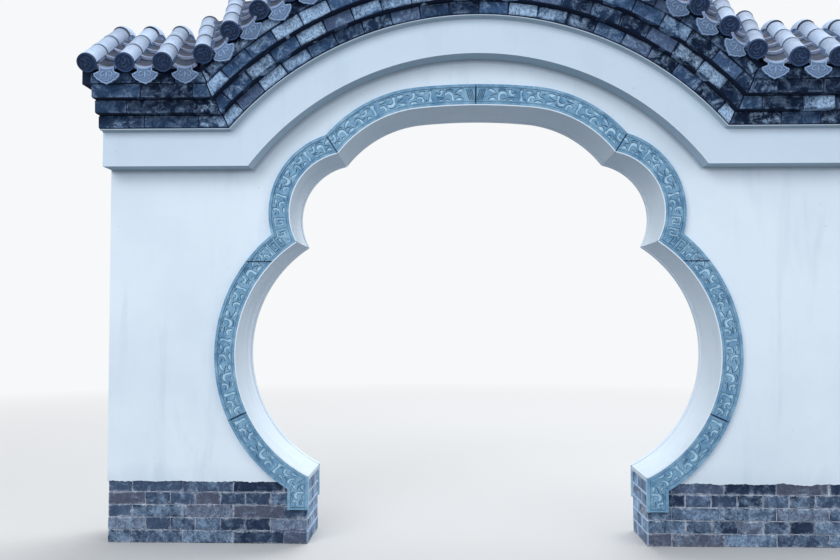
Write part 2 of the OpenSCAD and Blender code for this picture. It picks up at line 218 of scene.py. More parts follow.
class Recipe:
    """A finish's node tree, with short names for what the finishes share."""

    def __init__(self, name, roughness, specular):
        self.material = bpy.data.materials.new(name)
        self.material.use_nodes = True
        self.tree = self.material.node_tree
        self.shader = self.tree.nodes["Principled BSDF"]
        self.shader.inputs["Roughness"].default_value = roughness
        self.shader.inputs["Specular IOR Level"].default_value = specular
        self.place = self.node("ShaderNodeTexCoord").outputs["Object"]
        self.base = None

    def node(self, kind, sockets=(), **settings):
        made = self.tree.nodes.new(kind)
        for name, value in settings.items():
            setattr(made, name, value)
        for name, value in dict(sockets).items():
            self.feed(made.inputs[name], value)
        return made

    def feed(self, socket, value):
        if isinstance(value, bpy.types.NodeSocket):
            self.tree.links.new(value, socket)
        else:
            socket.default_value = value

    def noise(self, scale, detail=4.0, rough=0.55, warp=0.0, at=None):
        made = self.node("ShaderNodeTexNoise", {
            "Vector": at or self.place, "Scale": scale, "Detail": detail, "Roughness": rough,
            "Distortion": warp,
        })
        return made.outputs["Fac"]

    def stretched(self, x, y, z):
        made = self.node("ShaderNodeMapping", {"Vector": self.place, "Scale": (x, y, z)})
        return made.outputs["Vector"]

    def along(self, axis):
        return self.node("ShaderNodeSeparateXYZ", {"Vector": self.place}).outputs[axis]

    def flat(self, x, y):
        return self.node("ShaderNodeCombineXYZ", {"X": x, "Y": y}).outputs["Vector"]

    def vector(self, operation, *values):
        return self.node("ShaderNodeVectorMath", enumerate(values), operation=operation)

    def length(self, vector):
        return self.vector("LENGTH", vector).outputs["Value"]

    def tag(self, name):
        return self.node("ShaderNodeAttribute", attribute_name=name).outputs["Fac"]

    def fade(self, value, low, high):
        """0 below low and 1 above high, or the other way round."""
        reach = {"Value": value, "From Min": low, "From Max": high}
        made = self.node("ShaderNodeMapRange", reach, clamp=True)
        return made.outputs["Result"]

    def facing(self, axis):
        """How far the surface looks along an axis, from -1 to 1."""
        normal = self.node("ShaderNodeNewGeometry").outputs["Normal"]
        return self.node("ShaderNodeSeparateXYZ", {"Vector": normal}).outputs[axis]

    def math(self, operation, first, second=0.0):
        made = self.node("ShaderNodeMath", operation=operation)
        self.feed(made.inputs[0], first)
        self.feed(made.inputs[1], second)
        return made.outputs[0]

    def either_way(self, value):
        return self.math("ABSOLUTE", value)

    def swing(self, value, strength):
        """A noise as a small difference to either side of nothing."""
        return self.times(self.math("SUBTRACT", value, 0.5), strength)

    def times(self, first, second):
        return self.math("MULTIPLY", first, second)

    def blend(self, factor, low, high):
        made = self.node("ShaderNodeMix", data_type="RGBA", blend_type="MIX", clamp_result=True)
        self.feed(made.inputs[0], factor)
        self.feed(made.inputs[6], low)
        self.feed(made.inputs[7], high)
        return made.outputs[2]

    def wash(self, mask, strength, name):
        """Lays one of the gate's colours over the colour so far, where the mask is 1."""
        self.base = self.blend(self.times(mask, strength), self.base, colour(name))

    def relief(self, value, depth, strength):
        under = self.shader.inputs["Normal"].links
        made = self.node("ShaderNodeBump", {"Height": value, "Distance": depth, "Strength": strength})
        if under:
            self.feed(made.inputs["Normal"], under[0].from_socket)
        self.feed(self.shader.inputs["Normal"], made.outputs["Normal"])

    def gloss(self, value, low, high):
        reach = {"Value": value, "To Min": low, "To Max": high}
        made = self.node("ShaderNodeMapRange", reach, clamp=True)
        self.feed(self.shader.inputs["Roughness"], made.outputs["Result"])

    def finish(self):
        self.feed(self.shader.inputs["Base Color"], self.base)
        return self.material


def plaster_finish(name, tint, damp_and_shade, wall=False):
    """Limewash, with trowel marks, faint stains, damp spots and painted shade on undersides. A wall has
    splashes at its foot and a painted shade line under the ledge."""
    recipe = Recipe(name, roughness=0.9, specular=0.15)
    broad = recipe.noise(1.1, 5, 0.6)
    trowel = recipe.noise(7, 3, 0.5, 1.2, recipe.stretched(1, 1, 0.45))
    runs = recipe.noise(3.2, 4, 0.6, 0.6, recipe.stretched(2.0, 2.0, 0.3))
    recipe.base = colour(tint)
    recipe.wash(recipe.fade(broad, 0.42, 0.74), 0.42, "plaster_shade")
    recipe.wash(recipe.fade(runs, 0.56, 0.92), 0.8, "plaster_shade")
    recipe.wash(recipe.fade(recipe.noise(38, 2, 0.5), 0.73, 0.80), 0.45, "damp_and_underside_shade")
    # Painted shade: faces that look down turn grey
    recipe.wash(recipe.fade(recipe.facing("Z"), -0.25, -0.9), damp_and_shade, "damp_and_underside_shade")
    if wall:
        height = recipe.along("Z")
        splash = recipe.math("ADD", height, recipe.times(trowel, 0.16))
        recipe.wash(recipe.fade(splash, PLINTH_H + 0.16, PLINTH_H + 0.03), 0.5, "plaster_shade")
        # Painted shade: a dark line on the wall's faces close under the ledge and under the frieze over
        # the arch
        reach = recipe.length(recipe.flat(recipe.along("X"), recipe.math("SUBTRACT", height, ARCH_Z)))
        level = recipe.math("SUBTRACT", LEDGE_Z, height)
        away = recipe.math("MAXIMUM", level, recipe.math("SUBTRACT", ARCH_R, reach))
        rough = recipe.math("ADD", away, recipe.swing(recipe.noise(9, 3), 0.012))
        front = recipe.fade(recipe.either_way(recipe.facing("Y")), 0.3, 0.7)
        recipe.wash(recipe.times(recipe.fade(rough, 0.024, 0.004), front), 0.5, "painted_ledge_shade")
    recipe.relief(trowel, 0.004, 0.35)
    recipe.relief(recipe.noise(260, 3, 0.7), 0.0006, 0.5)
    return recipe.finish()


def brick_finish(name, light, dark, pale_wear_and_highlight, bloom, mottled, warm, jamb=0.0):
    """Fired clay: each brick has its own tone, a grainy bloom of salt, and pale edges that are wear and a
    painted highlight.
    """
    recipe = Recipe(name, roughness=0.92, specular=0.12)
    cloud = recipe.noise(9, 5, 0.65)
    patch = recipe.noise(17, 8, 0.75, 0.5)
    crumbs = recipe.noise(105, 8, 0.8, 0.4, recipe.stretched(1, 1, 0.8))
    shade = recipe.math("ADD", recipe.tag("tone"), recipe.swing(cloud, 0.8))
    recipe.base = recipe.blend(recipe.fade(shade, 0.05, 0.95), colour(dark), colour(light))
    recipe.wash(recipe.fade(patch, 0.46, 0.68), mottled, "pale_wear_and_highlight")
    recipe.wash(recipe.fade(recipe.tag("tone"), 0.78, 0.84), warm, "brick_warm")
    recipe.wash(recipe.fade(crumbs, 0.52, 0.34), 0.75, dark)
    salted = recipe.math("ADD", patch, recipe.times(recipe.tag("salt"), 0.32))
    spread = recipe.math("SUBTRACT", salted, recipe.times(recipe.tag("worn"), 0.09))
    grain = recipe.math("ADD", 0.26, recipe.times(recipe.fade(crumbs, 0.42, 0.57), 0.74))
    recipe.wash(recipe.times(recipe.fade(spread, 0.56, 0.80), grain), bloom, "salt")
    # Pale edges: wear and a painted highlight on the rounded edges
    edge = recipe.times(recipe.tag("worn"), recipe.fade(patch, 0.46, 0.60))
    recipe.wash(recipe.times(edge, grain), 0.7, pale_wear_and_highlight)
    if jamb:
        near = recipe.fade(recipe.either_way(recipe.along("X")), JAMB + 0.012, JAMB + 0.007)
        recipe.wash(recipe.times(near, jamb), recipe.fade(cloud, 0.3, 0.6), "salt")
    recipe.gloss(cloud, 0.95, 0.75)
    recipe.relief(patch, 0.003, 0.5)
    recipe.relief(crumbs, 0.0016, 0.5)
    recipe.relief(recipe.noise(150, 4, 0.75), 0.0008, 0.5)
    return recipe.finish()


def mortar_finish(name, tint, dark, plastered=False):
    """Rough mortar. Where its ends are plastered, they are as pale as the frieze."""
    recipe = Recipe(name, roughness=0.95, specular=0.1)
    lumps = recipe.noise(45, 5, 0.7)
    damp_and_shade = recipe.noise(5, 5, 0.6)
    recipe.base = recipe.blend(recipe.fade(lumps, 0.3, 0.75), colour(dark), colour(tint))
    recipe.base = recipe.blend(recipe.fade(damp_and_shade, 0.46, 0.68), recipe.base, colour(dark))
    if plastered:
        outward = recipe.fade(recipe.either_way(recipe.facing("X")), 0.8, 0.95)
        stains = recipe.times(recipe.fade(damp_and_shade, 0.35, 0.7), 0.6)
        lime = recipe.blend(stains, colour("frieze"), colour("plaster_shade"))
        recipe.base = recipe.blend(outward, recipe.base, lime)
    recipe.relief(lumps, 0.006, 0.8)
    return recipe.finish()


def tile_finish(name, tint, grime, soft=0.8):
    """Grey clay tile with painted shade and some grime in its hollows and under its laps, pale wear and
    small dark spots.
    """
    recipe = Recipe(name, roughness=soft, specular=0.2)
    cloud = recipe.noise(14, 5, 0.65)
    spots = recipe.noise(90, 3, 0.6)
    shade = recipe.math("ADD", recipe.tag("tone"), recipe.swing(cloud, 1.1))
    recipe.base = recipe.blend(recipe.fade(shade, -0.2, 0.75), colour("cornice_dark"), colour(tint))
    recipe.base = recipe.blend(0.7, colour(tint), recipe.base)
    recipe.wash(recipe.fade(spots, 0.60, 0.70), grime, "cornice_dark")
    recipe.wash(recipe.fade(recipe.noise(30, 6, 0.7), 0.62, 0.78), 0.35, "salt")
    # Painted shade with some grime, where the mesh marks hollows and laps
    recipe.wash(recipe.tag("shade_and_grime"), recipe.math("ADD", 0.55, recipe.times(cloud, 0.8)), "shade_and_grime")
    recipe.gloss(cloud, soft + 0.1, soft - 0.1)
    recipe.relief(cloud, 0.002, 0.4)
    recipe.relief(spots, 0.0008, 0.5)
    return recipe.finish()


def stone_finish(name, sunk):
    """Blue grey stone, with painted shade in the carving's hollows and dark joints between two stones.
    Where it is sunk behind the fillets it keeps a pale wash."""
    recipe = Recipe(name, roughness=0.8, specular=0.3)
    cloud = recipe.noise(16, 6, 0.65)
    tool = recipe.noise(85, 4, 0.7, 0.8, recipe.stretched(1, 1, 2.2))
    recipe.base = colour("stone")
    recipe.wash(recipe.fade(cloud, 0.34, 0.74), 0.5, "stone_ground")
    if sunk:
        depth = recipe.either_way(recipe.along("Y"))
        floor = recipe.fade(depth, BAND_FACE - 0.002, BAND_FACE - FIELD_DEPTH + 0.001)
        worn = recipe.times(recipe.fade(cloud, 0.66, 0.34), 0.5)
        pale = recipe.blend(worn, colour("stone_ground"), recipe.base)
        recipe.base = recipe.blend(floor, recipe.base, pale)
    recipe.wash(recipe.fade(tool, 0.52, 0.74), 0.45, "stone_shadow")
    recipe.wash(recipe.fade(tool, 0.44, 0.28), 0.35, "stone_ground")
    # Painted shade where the carving's mesh marks its hollows
    recipe.wash(recipe.tag("shade_and_grime"), 0.9, "stone_shadow")
    spot = recipe.flat(recipe.either_way(recipe.along("X")), recipe.along("Z"))
    for point, way in SEAMS:
        offset = recipe.vector("SUBTRACT", spot, point.to_3d()).outputs["Vector"]
        off = recipe.vector("DOT_PRODUCT", offset, Vector((way.y, -way.x, 0))).outputs["Value"]
        seam = recipe.fade(recipe.either_way(off), 0.0042, 0.0026)
        recipe.wash(seam, recipe.fade(recipe.length(offset), 0.14, 0.13), "stone_shadow")
    recipe.relief(tool, 0.002, 0.5)
    recipe.relief(recipe.noise(240, 3, 0.7), 0.0006, 0.5)
    return recipe.finish()


# ---- Making pieces


def move(bm, matrix):
    bmesh.ops.transform(bm, matrix=matrix, verts=bm.verts)


def push(bm, faces, matrix):
    """Extrudes faces and moves the new ones, which it returns."""
    made = bmesh.ops.extrude_face_region(bm, geom=faces)["geom"]
    bmesh.ops.transform(bm, matrix=matrix, verts=[g for g in made if isinstance(g, bmesh.types.BMVert)])
    return [g for g in made if isinstance(g, bmesh.types.BMFace)]


def draw_out(bm, faces, step, count):
    """Extrudes faces in equal steps."""
    for _ in range(count):
        faces = push(bm, faces, step)


def outline(bm, points):
    """A flat face through a few points."""
    return [bm.faces.new([bm.verts.new(p) for p in points])]


def cut(bm, place, away):
    """Cuts off what lies past a plane and closes the cut."""
    whole = bm.verts[:] + bm.edges[:] + bm.faces[:]
    made = bmesh.ops.bisect_plane(
        bm, geom=whole, dist=1e-6, plane_co=place, plane_no=away, clear_outer=True
    )
    edges = [g for g in made["geom_cut"] if isinstance(g, bmesh.types.BMEdge)]
    if edges:
        bmesh.ops.holes_fill(bm, edges=edges, sides=0)


def round_edges(bm, size, edges=None, segments=1):
    bmesh.ops.bevel(
        bm, geom=edges or bm.edges[:], offset=size, offset_type="OFFSET", affect="EDGES",
        segments=segments, profile=0.5, material=-1, clamp_overlap=True,
    )


def sink(bm, faces, steps):
    """Insets one face by a width and moves it along Y, step by step."""
    for wide, depth in steps:
        bmesh.ops.inset_region(bm, faces=faces, thickness=wide, depth=0, use_even_offset=True)
        bmesh.ops.transform(bm, matrix=shift(y=depth), verts=faces[0].verts[:])


def keep(bm, shade_and_grime=None):
    """A mesh that can be stamped many times. The shade and grime function tells how much painted shade
    and grime each point gets.
    """
    bmesh.ops.remove_doubles(bm, verts=bm.verts, dist=1e-5)
    bmesh.ops.recalc_face_normals(bm, faces=bm.faces)
    mesh = bpy.data.meshes.new("template")
    bm.to_mesh(mesh)
    bm.free()
    for tag in ("tone", "salt", "shade_and_grime", "worn"):
        if tag not in mesh.attributes:
            mesh.attributes.new(tag, "FLOAT", "POINT")
    if shade_and_grime:
        mesh.attributes["shade_and_grime"].data.foreach_set("value", [shade_and_grime(vert.co) for vert in mesh.vertices])
    return mesh


class Pile:
    """Copies of small meshes, gathered into one piece of the gate."""

    def __init__(self, name, finish, slot, replaced=()):
        self.name, self.finish, self.slot, self.replaced = name, finish, slot, replaced
        self.bm = bmesh.new()

    def add(self, mesh, matrix, tone=0.5, salt=0.0):
        copy = mesh.copy()
        copy.transform(matrix)
        if matrix.determinant() < 0:
            copy.flip_normals()
        for tag, value in (("tone", tone), ("salt", salt)):
            copy.attributes[tag].data.foreach_set("value", [value] * len(copy.vertices))
        self.bm.from_mesh(copy)
        bpy.data.meshes.remove(copy)

    def settle(self, size, scale):
        """Moves every point a little, so that no two edges are quite straight."""
        for vert in self.bm.verts:
            vert.co += noise.noise_vector(vert.co * scale) * size

    def place(self, smooth=False):
        mesh = bpy.data.meshes.new(self.name)
        self.bm.to_mesh(mesh)
        self.bm.free()
        if smooth:
            mesh.shade_smooth()
            mesh.set_sharp_from_angle(angle=math.radians(35))
        mesh.materials.append(self.finish)
        piece = bpy.data.objects.new(self.name, mesh)
        bpy.context.scene.collection.objects.link(piece)
        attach(piece, "root")
        if self.replaced:
            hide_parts(*self.replaced)


def roof_piles(kind, finish):
    """One pile of tiles for each part of the roof."""
    return {
        part: Pile(f"{part}_{kind}s", finish, f"{kind}_tile", (f"{part}_{kind}_tiles",))
        for part in ("arch", "left", "right")
    }


def dress(name, material):
    """Gives a CAD node its finish."""
    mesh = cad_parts[name].data
    mesh.materials.clear()
    mesh.materials.append(material)


def block(length, depth, height, edge, rim=0.006):
    """A brick, centred on its own middle, marked as worn along its rounded edges, which the finish makes
    pale, partly as a painted highlight.
    """
    bm = bmesh.new()
    worn = bm.verts.layers.float.new("worn")
    bmesh.ops.create_cube(bm, size=1, matrix=stretch(length, depth, height))
    round_edges(bm, edge)
    sides = sorted(bm.faces, key=lambda face: face.calc_area())[-6:]
    for vert in bm.verts:
        vert[worn] = 1
    bmesh.ops.inset_individual(bm, faces=sides, thickness=rim, depth=0, use_even_offset=True)
    for vert in {vert for face in sides for vert in face.verts}:
        vert[worn] = 0
    return bm


def draw(name):
    """The seeded numbers behind one piece's small differences."""
    return random.Random(f"{name}{bpy.context.scene.gate_sizes.seed}")


# ---- Rows of the roof


def on_arch(angle):
    """The ledge over the arch, at an angle from upright."""
    return shift(z=ARCH_Z) @ turn(angle, "Y") @ shift(z=ARCH_R)


def at_eave(lean):
    """The foot of a row above the ledge, turned up the slope and leaning to one side."""
    return shift(y=-EAVE_Y, z=EAVE_H) @ turn(SLOPE, "X") @ turn(lean, "Z")


class Row:
    """One row of tiles up the front slope, and the place where it rolls over the ridge."""

    def __init__(self, foot, lean, crest, part):
        self.foot = foot @ at_eave(lean)
        self.crest = crest @ shift(z=RIDGE_H)
        self.length = (ROW_L - RIDGE_GAP) / math.cos(lean)
        self.part = part

    def on(self, turned):
        """The part of the roof that this row belongs to, once it is turned to the back or not."""
        if turned == Matrix() or self.part == "arch":
            return self.part
        return "left" if self.part == "right" else "right"


def arch_row(step):
    """A row of the arch, counted in steps from the crown."""
    angle = step * ROW_ANGLE
    lean = math.atan(CREST_R * math.sin(angle * (1 - ROW_FAN)) / ROW_L)
    return Row(on_arch(angle), lean, on_arch(angle * ROW_FAN), "arch")


def flank_rows(eave_x, ridge_x):
    """A row on the right flank and its like on the left one."""
    rows = []
    for side, part in ((1, "right"), (-1, "left")):
        lean = math.atan(side * (eave_x - ridge_x) / ROW_L)
        foot, crest = shift(side * eave_x, 0, LEDGE_Z), shift(side * ridge_x, 0, LEDGE_Z)
        rows.append(Row(foot, lean, crest, part))
    return rows


def flank_x(step):
    """Where a row of the flank has its foot and its crest, counted in steps from the wall's end."""
    return HALF_L - step * (FLANK_PITCH + FLANK_SPREAD), HALF_L - step * FLANK_PITCH


def valley_x():
    """Midway between the arch's last row and the flank's."""
    last = (ARCH_ROWS - 0.5) * ROW_ANGLE
    ends = ((EAVE_R, last), (CREST_R, last * ROW_FAN))
    outer = [radius * math.sin(angle) + COVER_R * math.cos(angle) for radius, angle in ends]
    return [(a + b - COVER_R) / 2 for a, b in zip(outer, flank_x(FLANK_ROWS - 1))]


def cover_rows():
    rows = [arch_row(side * (i + 0.5)) for side in (-1, 1) for i in range(ARCH_ROWS)]
    for i in range(FLANK_ROWS):
        rows += flank_rows(*flank_x(i))
    return rows


def pan_rows():
    rows = [arch_row(i) for i in range(1 - ARCH_ROWS, ARCH_ROWS)]
    for i in range(FLANK_ROWS - 1):
        rows += flank_rows(*flank_x(i + 0.5))
    return rows + flank_rows(*valley_x())


# ---- Tiles


def spin(bm, start, end, height, angle, steps):
    """Sweeps an edge about the Y axis at a height, and returns the faces it leaves."""
    a, b = bm.verts.new(start), bm.verts.new(end)
    swept = [a, b, bm.edges.new((a, b))]
    bmesh.ops.spin(bm, geom=swept, cent=(0, 0, height), axis=(0, 1, 0), angle=-angle, steps=steps)
    return bm.faces[:]


def rim_edges(bm, low, high, radius):
    """The edges on the outside of a round piece, from one y to another."""
    return [
        edge for edge in bm.edges
        if all(low < vert.co.y < high and vert.co.xz.length > radius for vert in edge.verts)
    ]


def half_ring(bm):
    """The end of a cover tile, standing across Y with its feet down."""
    return spin(bm, (COVER_R, 0, 0), (COVER_R - COVER_THICK, 0, 0), 0, math.pi, 10)


def hollow_strip(bm, width, hollow, thick, height):
    """The end of a pan tile, standing across Y, with the lowest point of its hollow at a height."""
    half = math.asin(width / 2 / hollow)
    start = Vector((-hollow * math.sin(half), 0, height + hollow - hollow * math.cos(half)))
    end = start + Vector((-math.sin(half), 0, -math.cos(half))) * thick
    return spin(bm, start, end, height + hollow, 2 * half, 6)


def cover_tile(length, shown):
    """A half round tile with a lip at its lower end, with painted shade and some grime where the next
    tile lies on it.
    """
    bm = bmesh.new()
    faces = half_ring(bm)
    lip = ((0.004, 1), (0.010, 1), (0.012, 0.94), (0.018, 1))
    lap = ((shown - 0.020, 1), (shown - 0.010, 1), (shown - 0.004, 1), (length, 1))
    last = 0
    for y, scale in lip + lap:
        faces = push(bm, faces, shift(y=y - last) @ stretch(scale, 1, scale))
        last = y
    round_edges(bm, 0.003, rim_edges(bm, -1e-6, 1e-6, COVER_R - 0.001), 2)
    # Painted shade with some grime, just below the next tile's lip
    return keep(bm, lambda co: 1.0 if co.y > shown - 0.012 else 0.3 if co.y > shown - 0.022 else 0.0)


def saddle_tile(reach):
    """The tile that rolls over the ridge, bent through an angle of reach to each side."""
    bm = bmesh.new()
    made = half_ring(bm)
    move(bm, turn(reach, "X") @ shift(z=RIDGE_R))
    for part in (0.04, 0.06, 0.2, 0.2, 0.2, 0.2, 0.06, 0.04):
        made = push(bm, made, turn(-2 * reach * part, "X"))
    # Painted shade with some grime at both ends, where the saddle meets the rows
    return keep(bm, lambda co: 0.9 if abs(math.atan2(co.y, co.z)) > reach - 0.001 else 0.0)


def mortar_bar(length):
    """The bed that a row of cover tiles sits on, with a fillet along each side."""
    bm = bmesh.new()
    start, w = 0.030, COVER_R
    made = outline(bm, [(x, start, z) for x, z in (
        (-w - 0.006, -SEAT - 0.004), (w + 0.006, -SEAT - 0.004), (w - 0.001, -0.022),
        (w - 0.006, 0.010), (-w + 0.006, 0.010), (-w + 0.001, -0.022),
    )])
    draw_out(bm, made, shift(y=(length - start) / 8), 8)
    return keep(bm)


def mortar_saddle(reach):
    """The bed under a saddle tile."""
    bm = bmesh.new()
    w = COVER_R - 0.004
    corners = ((-w, -SEAT - 0.01), (w, -SEAT - 0.01), (w, 0.008), (-w, 0.008))
    made = outline(bm, [(x, 0, RIDGE_R + z) for x, z in corners])
    move(bm, turn(reach, "X"))
    draw_out(bm, made, turn(-reach / 3, "X"), 6)
    return keep(bm)


def pan_tile(length):
    """A shallow hollow tile, lying along Y with its lower lip at the origin."""
    bm = bmesh.new()
    made = hollow_strip(bm, 0.100, 0.080, 0.013, 0)
    for step in (0.014, 0.018, length - 0.032):
        made = push(bm, made, shift(y=step))
    # Painted shade with some grime, rising up the tile under the next pan
    return keep(bm, lambda co: min(1.0, max(0.0, (co.y - 0.016) / 0.016)) * 0.9)


def pan_saddle(reach):
    """The pan tile that rolls over the ridge."""
    bm = bmesh.new()
    thick = 0.012
    made = hollow_strip(bm, 0.078, 0.082, thick, RIDGE_R - SEAT + thick)
    move(bm, turn(reach, "X"))
    draw_out(bm, made, turn(-reach / 3, "X"), 6)
    return keep(bm)


def curve(points, share):
    """A smooth line through a few points, at a share of its length."""
    place = share * (len(points) - 1)
    i = min(int(place), len(points) - 2)
    f = place - i
    a, b, c, d = (Vector(points[min(max(k, 0), len(points) - 1)]) for k in (i - 1, i, i + 1, i + 2))
    square, cube = 2 * a - 5 * b + 4 * c - d, 3 * b - a - 3 * c + d
    return 0.5 * (2 * b + (c - a) * f + square * f ** 2 + cube * f ** 3)


def swell(widths, share):
    """The width of a stroke at a share of its length."""
    return curve([(w, 0) for w in widths], share).x


def ribbon(bm, points, widths, height, steps):
    """A raised leaf or stem, rounded across."""
    first = len(bm.faces)
    made = bmesh.ops.create_grid(bm, x_segments=steps, y_segments=4, size=1)["verts"]
    faces = bm.faces[first:]
    for vert in made:
        share, side = (vert.co.x + 1) / 2, vert.co.y
        middle = curve(points, share)
        way = (curve(points, min(share + 0.02, 1)) - curve(points, max(share - 0.02, 0))).normalized()
        flat = middle + Vector((-way.y, way.x)) * side * swell(widths, share) / 2
        vert.co = (flat.x, flat.y, height * (1 - abs(side) ** 3))
    push(bm, faces, shift(z=-0.0025))


def raise_strokes(bm, strokes, height, front):
    """Ribbons of relief, drawn flat in millimetres and stood up against a face that looks along -Y."""
    for points, widths, steps in strokes:
        points = [(x / 1000, y / 1000) for x, y in points]
        ribbon(bm, points, [wide / 1000 for wide in widths], height, steps)
    move(bm, shift(y=front) @ turn(math.pi / 2, "X"))


def end_cap():
    """A round cap with a raised rim around a ground filled with curls."""
    bm = bmesh.new()
    ground = -PLATE + 0.004
    raise_strokes(bm, [
        ([(-30, -12), (-20, 2), (-4, 4), (8, -6), (0, -14), (-8, -8)], (4, 10, 11, 9, 7, 3), 12),
        ([(2, 12), (16, 12), (24, 0), (18, -12)], (4, 9, 9, 3), 7),
        ([(-28, 10), (-18, 20), (-4, 22), (2, 30)], (3, 9, 8, 3), 7),
        ([(12, 22), (20, 26), (30, 16), (33, 4)], (3, 7, 7, 3), 6),
        ([(-22, -24), (-8, -26), (4, -32)], (3, 9, 3), 5),
        ([(10, -22), (20, -26), (30, -14)], (3, 9, 3), 5),
    ], 0.0036, ground)
    for x, z, wide in ((-0.016, 0.010, 0.005), (-0.034, 0.000, 0.004)):
        berry = shift(x, ground, z) @ stretch(wide, 0.003, 0.005)
        bmesh.ops.create_uvsphere(bm, u_segments=6, v_segments=5, radius=1, matrix=berry)
    upright = turn(math.pi / 2, "X")
    made = bmesh.ops.create_circle(bm, cap_ends=True, segments=32, radius=COVER_R, matrix=upright)
    made = push(bm, made["verts"][0].link_faces[:], shift(y=-PLATE))
    sink(bm, made, ((0.007, 0), (0.0012, 0.004)))
    round_edges(bm, 0.0015, rim_edges(bm, -1, 0.001 - PLATE, COVER_R - 0.0005))
    # Painted shade in the sunk ground, less against the rim; the rim's face and the curls' tops stay
    # clean
    return keep(bm, lambda co: 0.0 if co.y < ground - 0.001 else 0.5 if co.xz.length > 0.0405 else 0.8)


def drip_plate():
    """The plate that hangs at the foot of a pan: a scalloped shield with two borders and scrolls."""
    bm = bmesh.new()
    ground, back = 0.0105, 0.020
    border = [(52, -60), (38, -74), (18, -84)]
    strokes = [
        ([(0, -44), (0, -60), (0, -80)], (4, 11, 2), 6),
        ([(-x, z) for x, z in border] + [(0, -93.5)] + border[::-1], (3, 3), 18),
    ]
    for side in (-1, 1):
        for points, widths, steps in (
            ([(7, -43), (22, -47), (30, -57), (22, -68), (11, -62), (14, -54)], (4, 8, 8, 7, 5, 3), 10),
            ([(36, -49), (46, -53), (53, -57)], (3, 7, 2), 4),
            ([(34, -66), (40, -60), (46, -63)], (3, 6, 2), 4),
        ):
            strokes.append(([(side * x, z) for x, z in points], widths, steps))
    raise_strokes(bm, strokes, 0.0034, ground)
    top = [(0.036 - 0.009 * i, -0.030 + 0.0106 * ((i - 4) / 4) ** 2) for i in range(9)]
    left = [
        (-0.036, -0.042), (-0.063, -0.054), (-0.060, -0.067), (-0.051, -0.075), (-0.047, -0.082),
        (-0.032, -0.089), (-0.026, -0.096), (-0.010, -0.101),
    ]
    points = top + left + [(0, -0.107)] + [(-x, z) for x, z in reversed(left)]
    made = push(bm, outline(bm, [(x, back, z) for x, z in points]), shift(y=-PLATE))
    for vert in bm.verts:
        if vert.co.y > back - 0.0001 and vert.co.z > -0.031:
            vert.co.z += 0.007
    sink(bm, made, ((0.0045, 0), (0.001, ground - 0.008)))
    # Painted shade in the sunk ground between the borders and scrolls
    return keep(bm, lambda co: 0.5 if 0.0092 < co.y < 0.014 else 0.05)


# ---- The carved band


def meet(a, ra, b, rb):
    """Where two circles cross, on the right of the way from the first centre to the second."""
    way = b - a
    d = way.length
    k = (d * d + ra * ra - rb * rb) / (2 * d)
    unit = way / d
    return a + k * unit + math.sqrt(ra * ra - k * k) * Vector((unit.y, -unit.x))


def heading(centre, point):
    """The angle from straight up, clockwise, in which a centre sees a point."""
    return math.atan2(point.x - centre.x, point.y - centre.y)


def on_ring(centre, radius, angle):
    """A point on a circle, at an angle from straight up, clockwise."""
    return centre + radius * Vector((math.sin(angle), math.cos(angle)))


class Run:
    """A stretch of the band's middle line, as arcs that follow one another."""

    def __init__(self, *arcs):
        self.arcs = arcs
        self.length = sum(radius * (end - start) for centre, radius, start, end in arcs)

    def point(self, along, across):
        """The point so far along the run and out from its middle line."""
        for centre, radius, start, end in self.arcs:
            reach = radius * (end - start)
            if along <= reach or (centre, radius, start, end) == self.arcs[-1]:
                return on_ring(centre, radius + across, start + along / radius)
            along -= reach


def stroke(points, widths, steps):
    """The outline of a stroke through a few points, smooth in that many steps, or square."""
    middle, wide = [Vector(p) for p in points], [widths[0]] * len(points)
    if steps:
        middle = [curve(points, i / steps) for i in range(steps + 1)]
        wide = [swell(widths, i / steps) for i in range(steps + 1)]
    ways = [(b - a).normalized() for a, b in zip(middle, middle[1:])]
    sides = ([], [])
    for i, (spot, width) in enumerate(zip(middle, wide)):
        before, after = ways[max(i - 1, 0)], ways[min(i, len(ways) - 1)]
        way = (before + after) / (1 + before.dot(after))
        for side, sign in zip(sides, (1, -1)):
            side.append(spot + sign * Vector((-way.y, way.x)) * width / 2)
    return sides[0] + sides[1][::-1]


# What is cut out of the carved plates: the length of a cell, and its strokes, each with points along
# and across, widths, and steps, in millimetres
CELL = 138
LEAF = CELL, (
    ([(6, -24), (22, -21), (40, -24)], (4, 15, 4), 6),
    ([(54, -29), (55, -8), (58, 6), (70, 13), (84, 9), (88, -2)], (15, 10, 13, 15, 12, 4), 13),
    ([(4, 25), (22, 21), (40, 10)], (12, 11, 3), 4),
    ([(104, 28), (104, 14), (112, 2), (126, 4), (130, 14)], (16, 10, 10, 9, 3), 11),
    ([(99, -28), (110, -24), (122, -28)], (3, 9, 3), 4),
    ([(70, -29), (78, -24), (88, -28)], (3, 8, 3), 4),
    ([(50, 18), (58, 27), (74, 29), (86, 25)], (0.7, 0.7), 6),
    ([(14, -8), (30, 0), (44, 3)], (0.7, 0.7), 4),
    ([(94, -14), (110, -12), (128, -13)], (0.7, 0.7), 4),
)
WAVE = CELL, (
    ([(20, 29), (22, 8), (18, -12), (22, -29)], (22, 10, 9, 16), 9),
    ([(44, -27), (56, -20), (70, -27)], (3, 11, 3), 5),
    ([(58, 26), (56, 12), (66, 1), (80, 3), (84, 13)], (15, 10, 10, 9, 3), 11),
    ([(84, 28), (102, 24), (122, 28)], (3, 11, 3), 5),
    ([(100, -29), (98, -12), (108, 3), (124, 2)], (14, 10, 9, 3), 9),
    ([(36, 16), (44, 26)], (0.7, 0.7), 2),
    ([(74, -12), (88, -14)], (0.7, 0.7), 2),
    ([(116, -12), (133, -20)], (0.7, 0.7), 3),
)
FAN = 52, tuple(([(x, -30), (x + 7, -4), (x + 15, 27)], (0.7, 0.7), 4) for x in (3, 11, 19, 27))
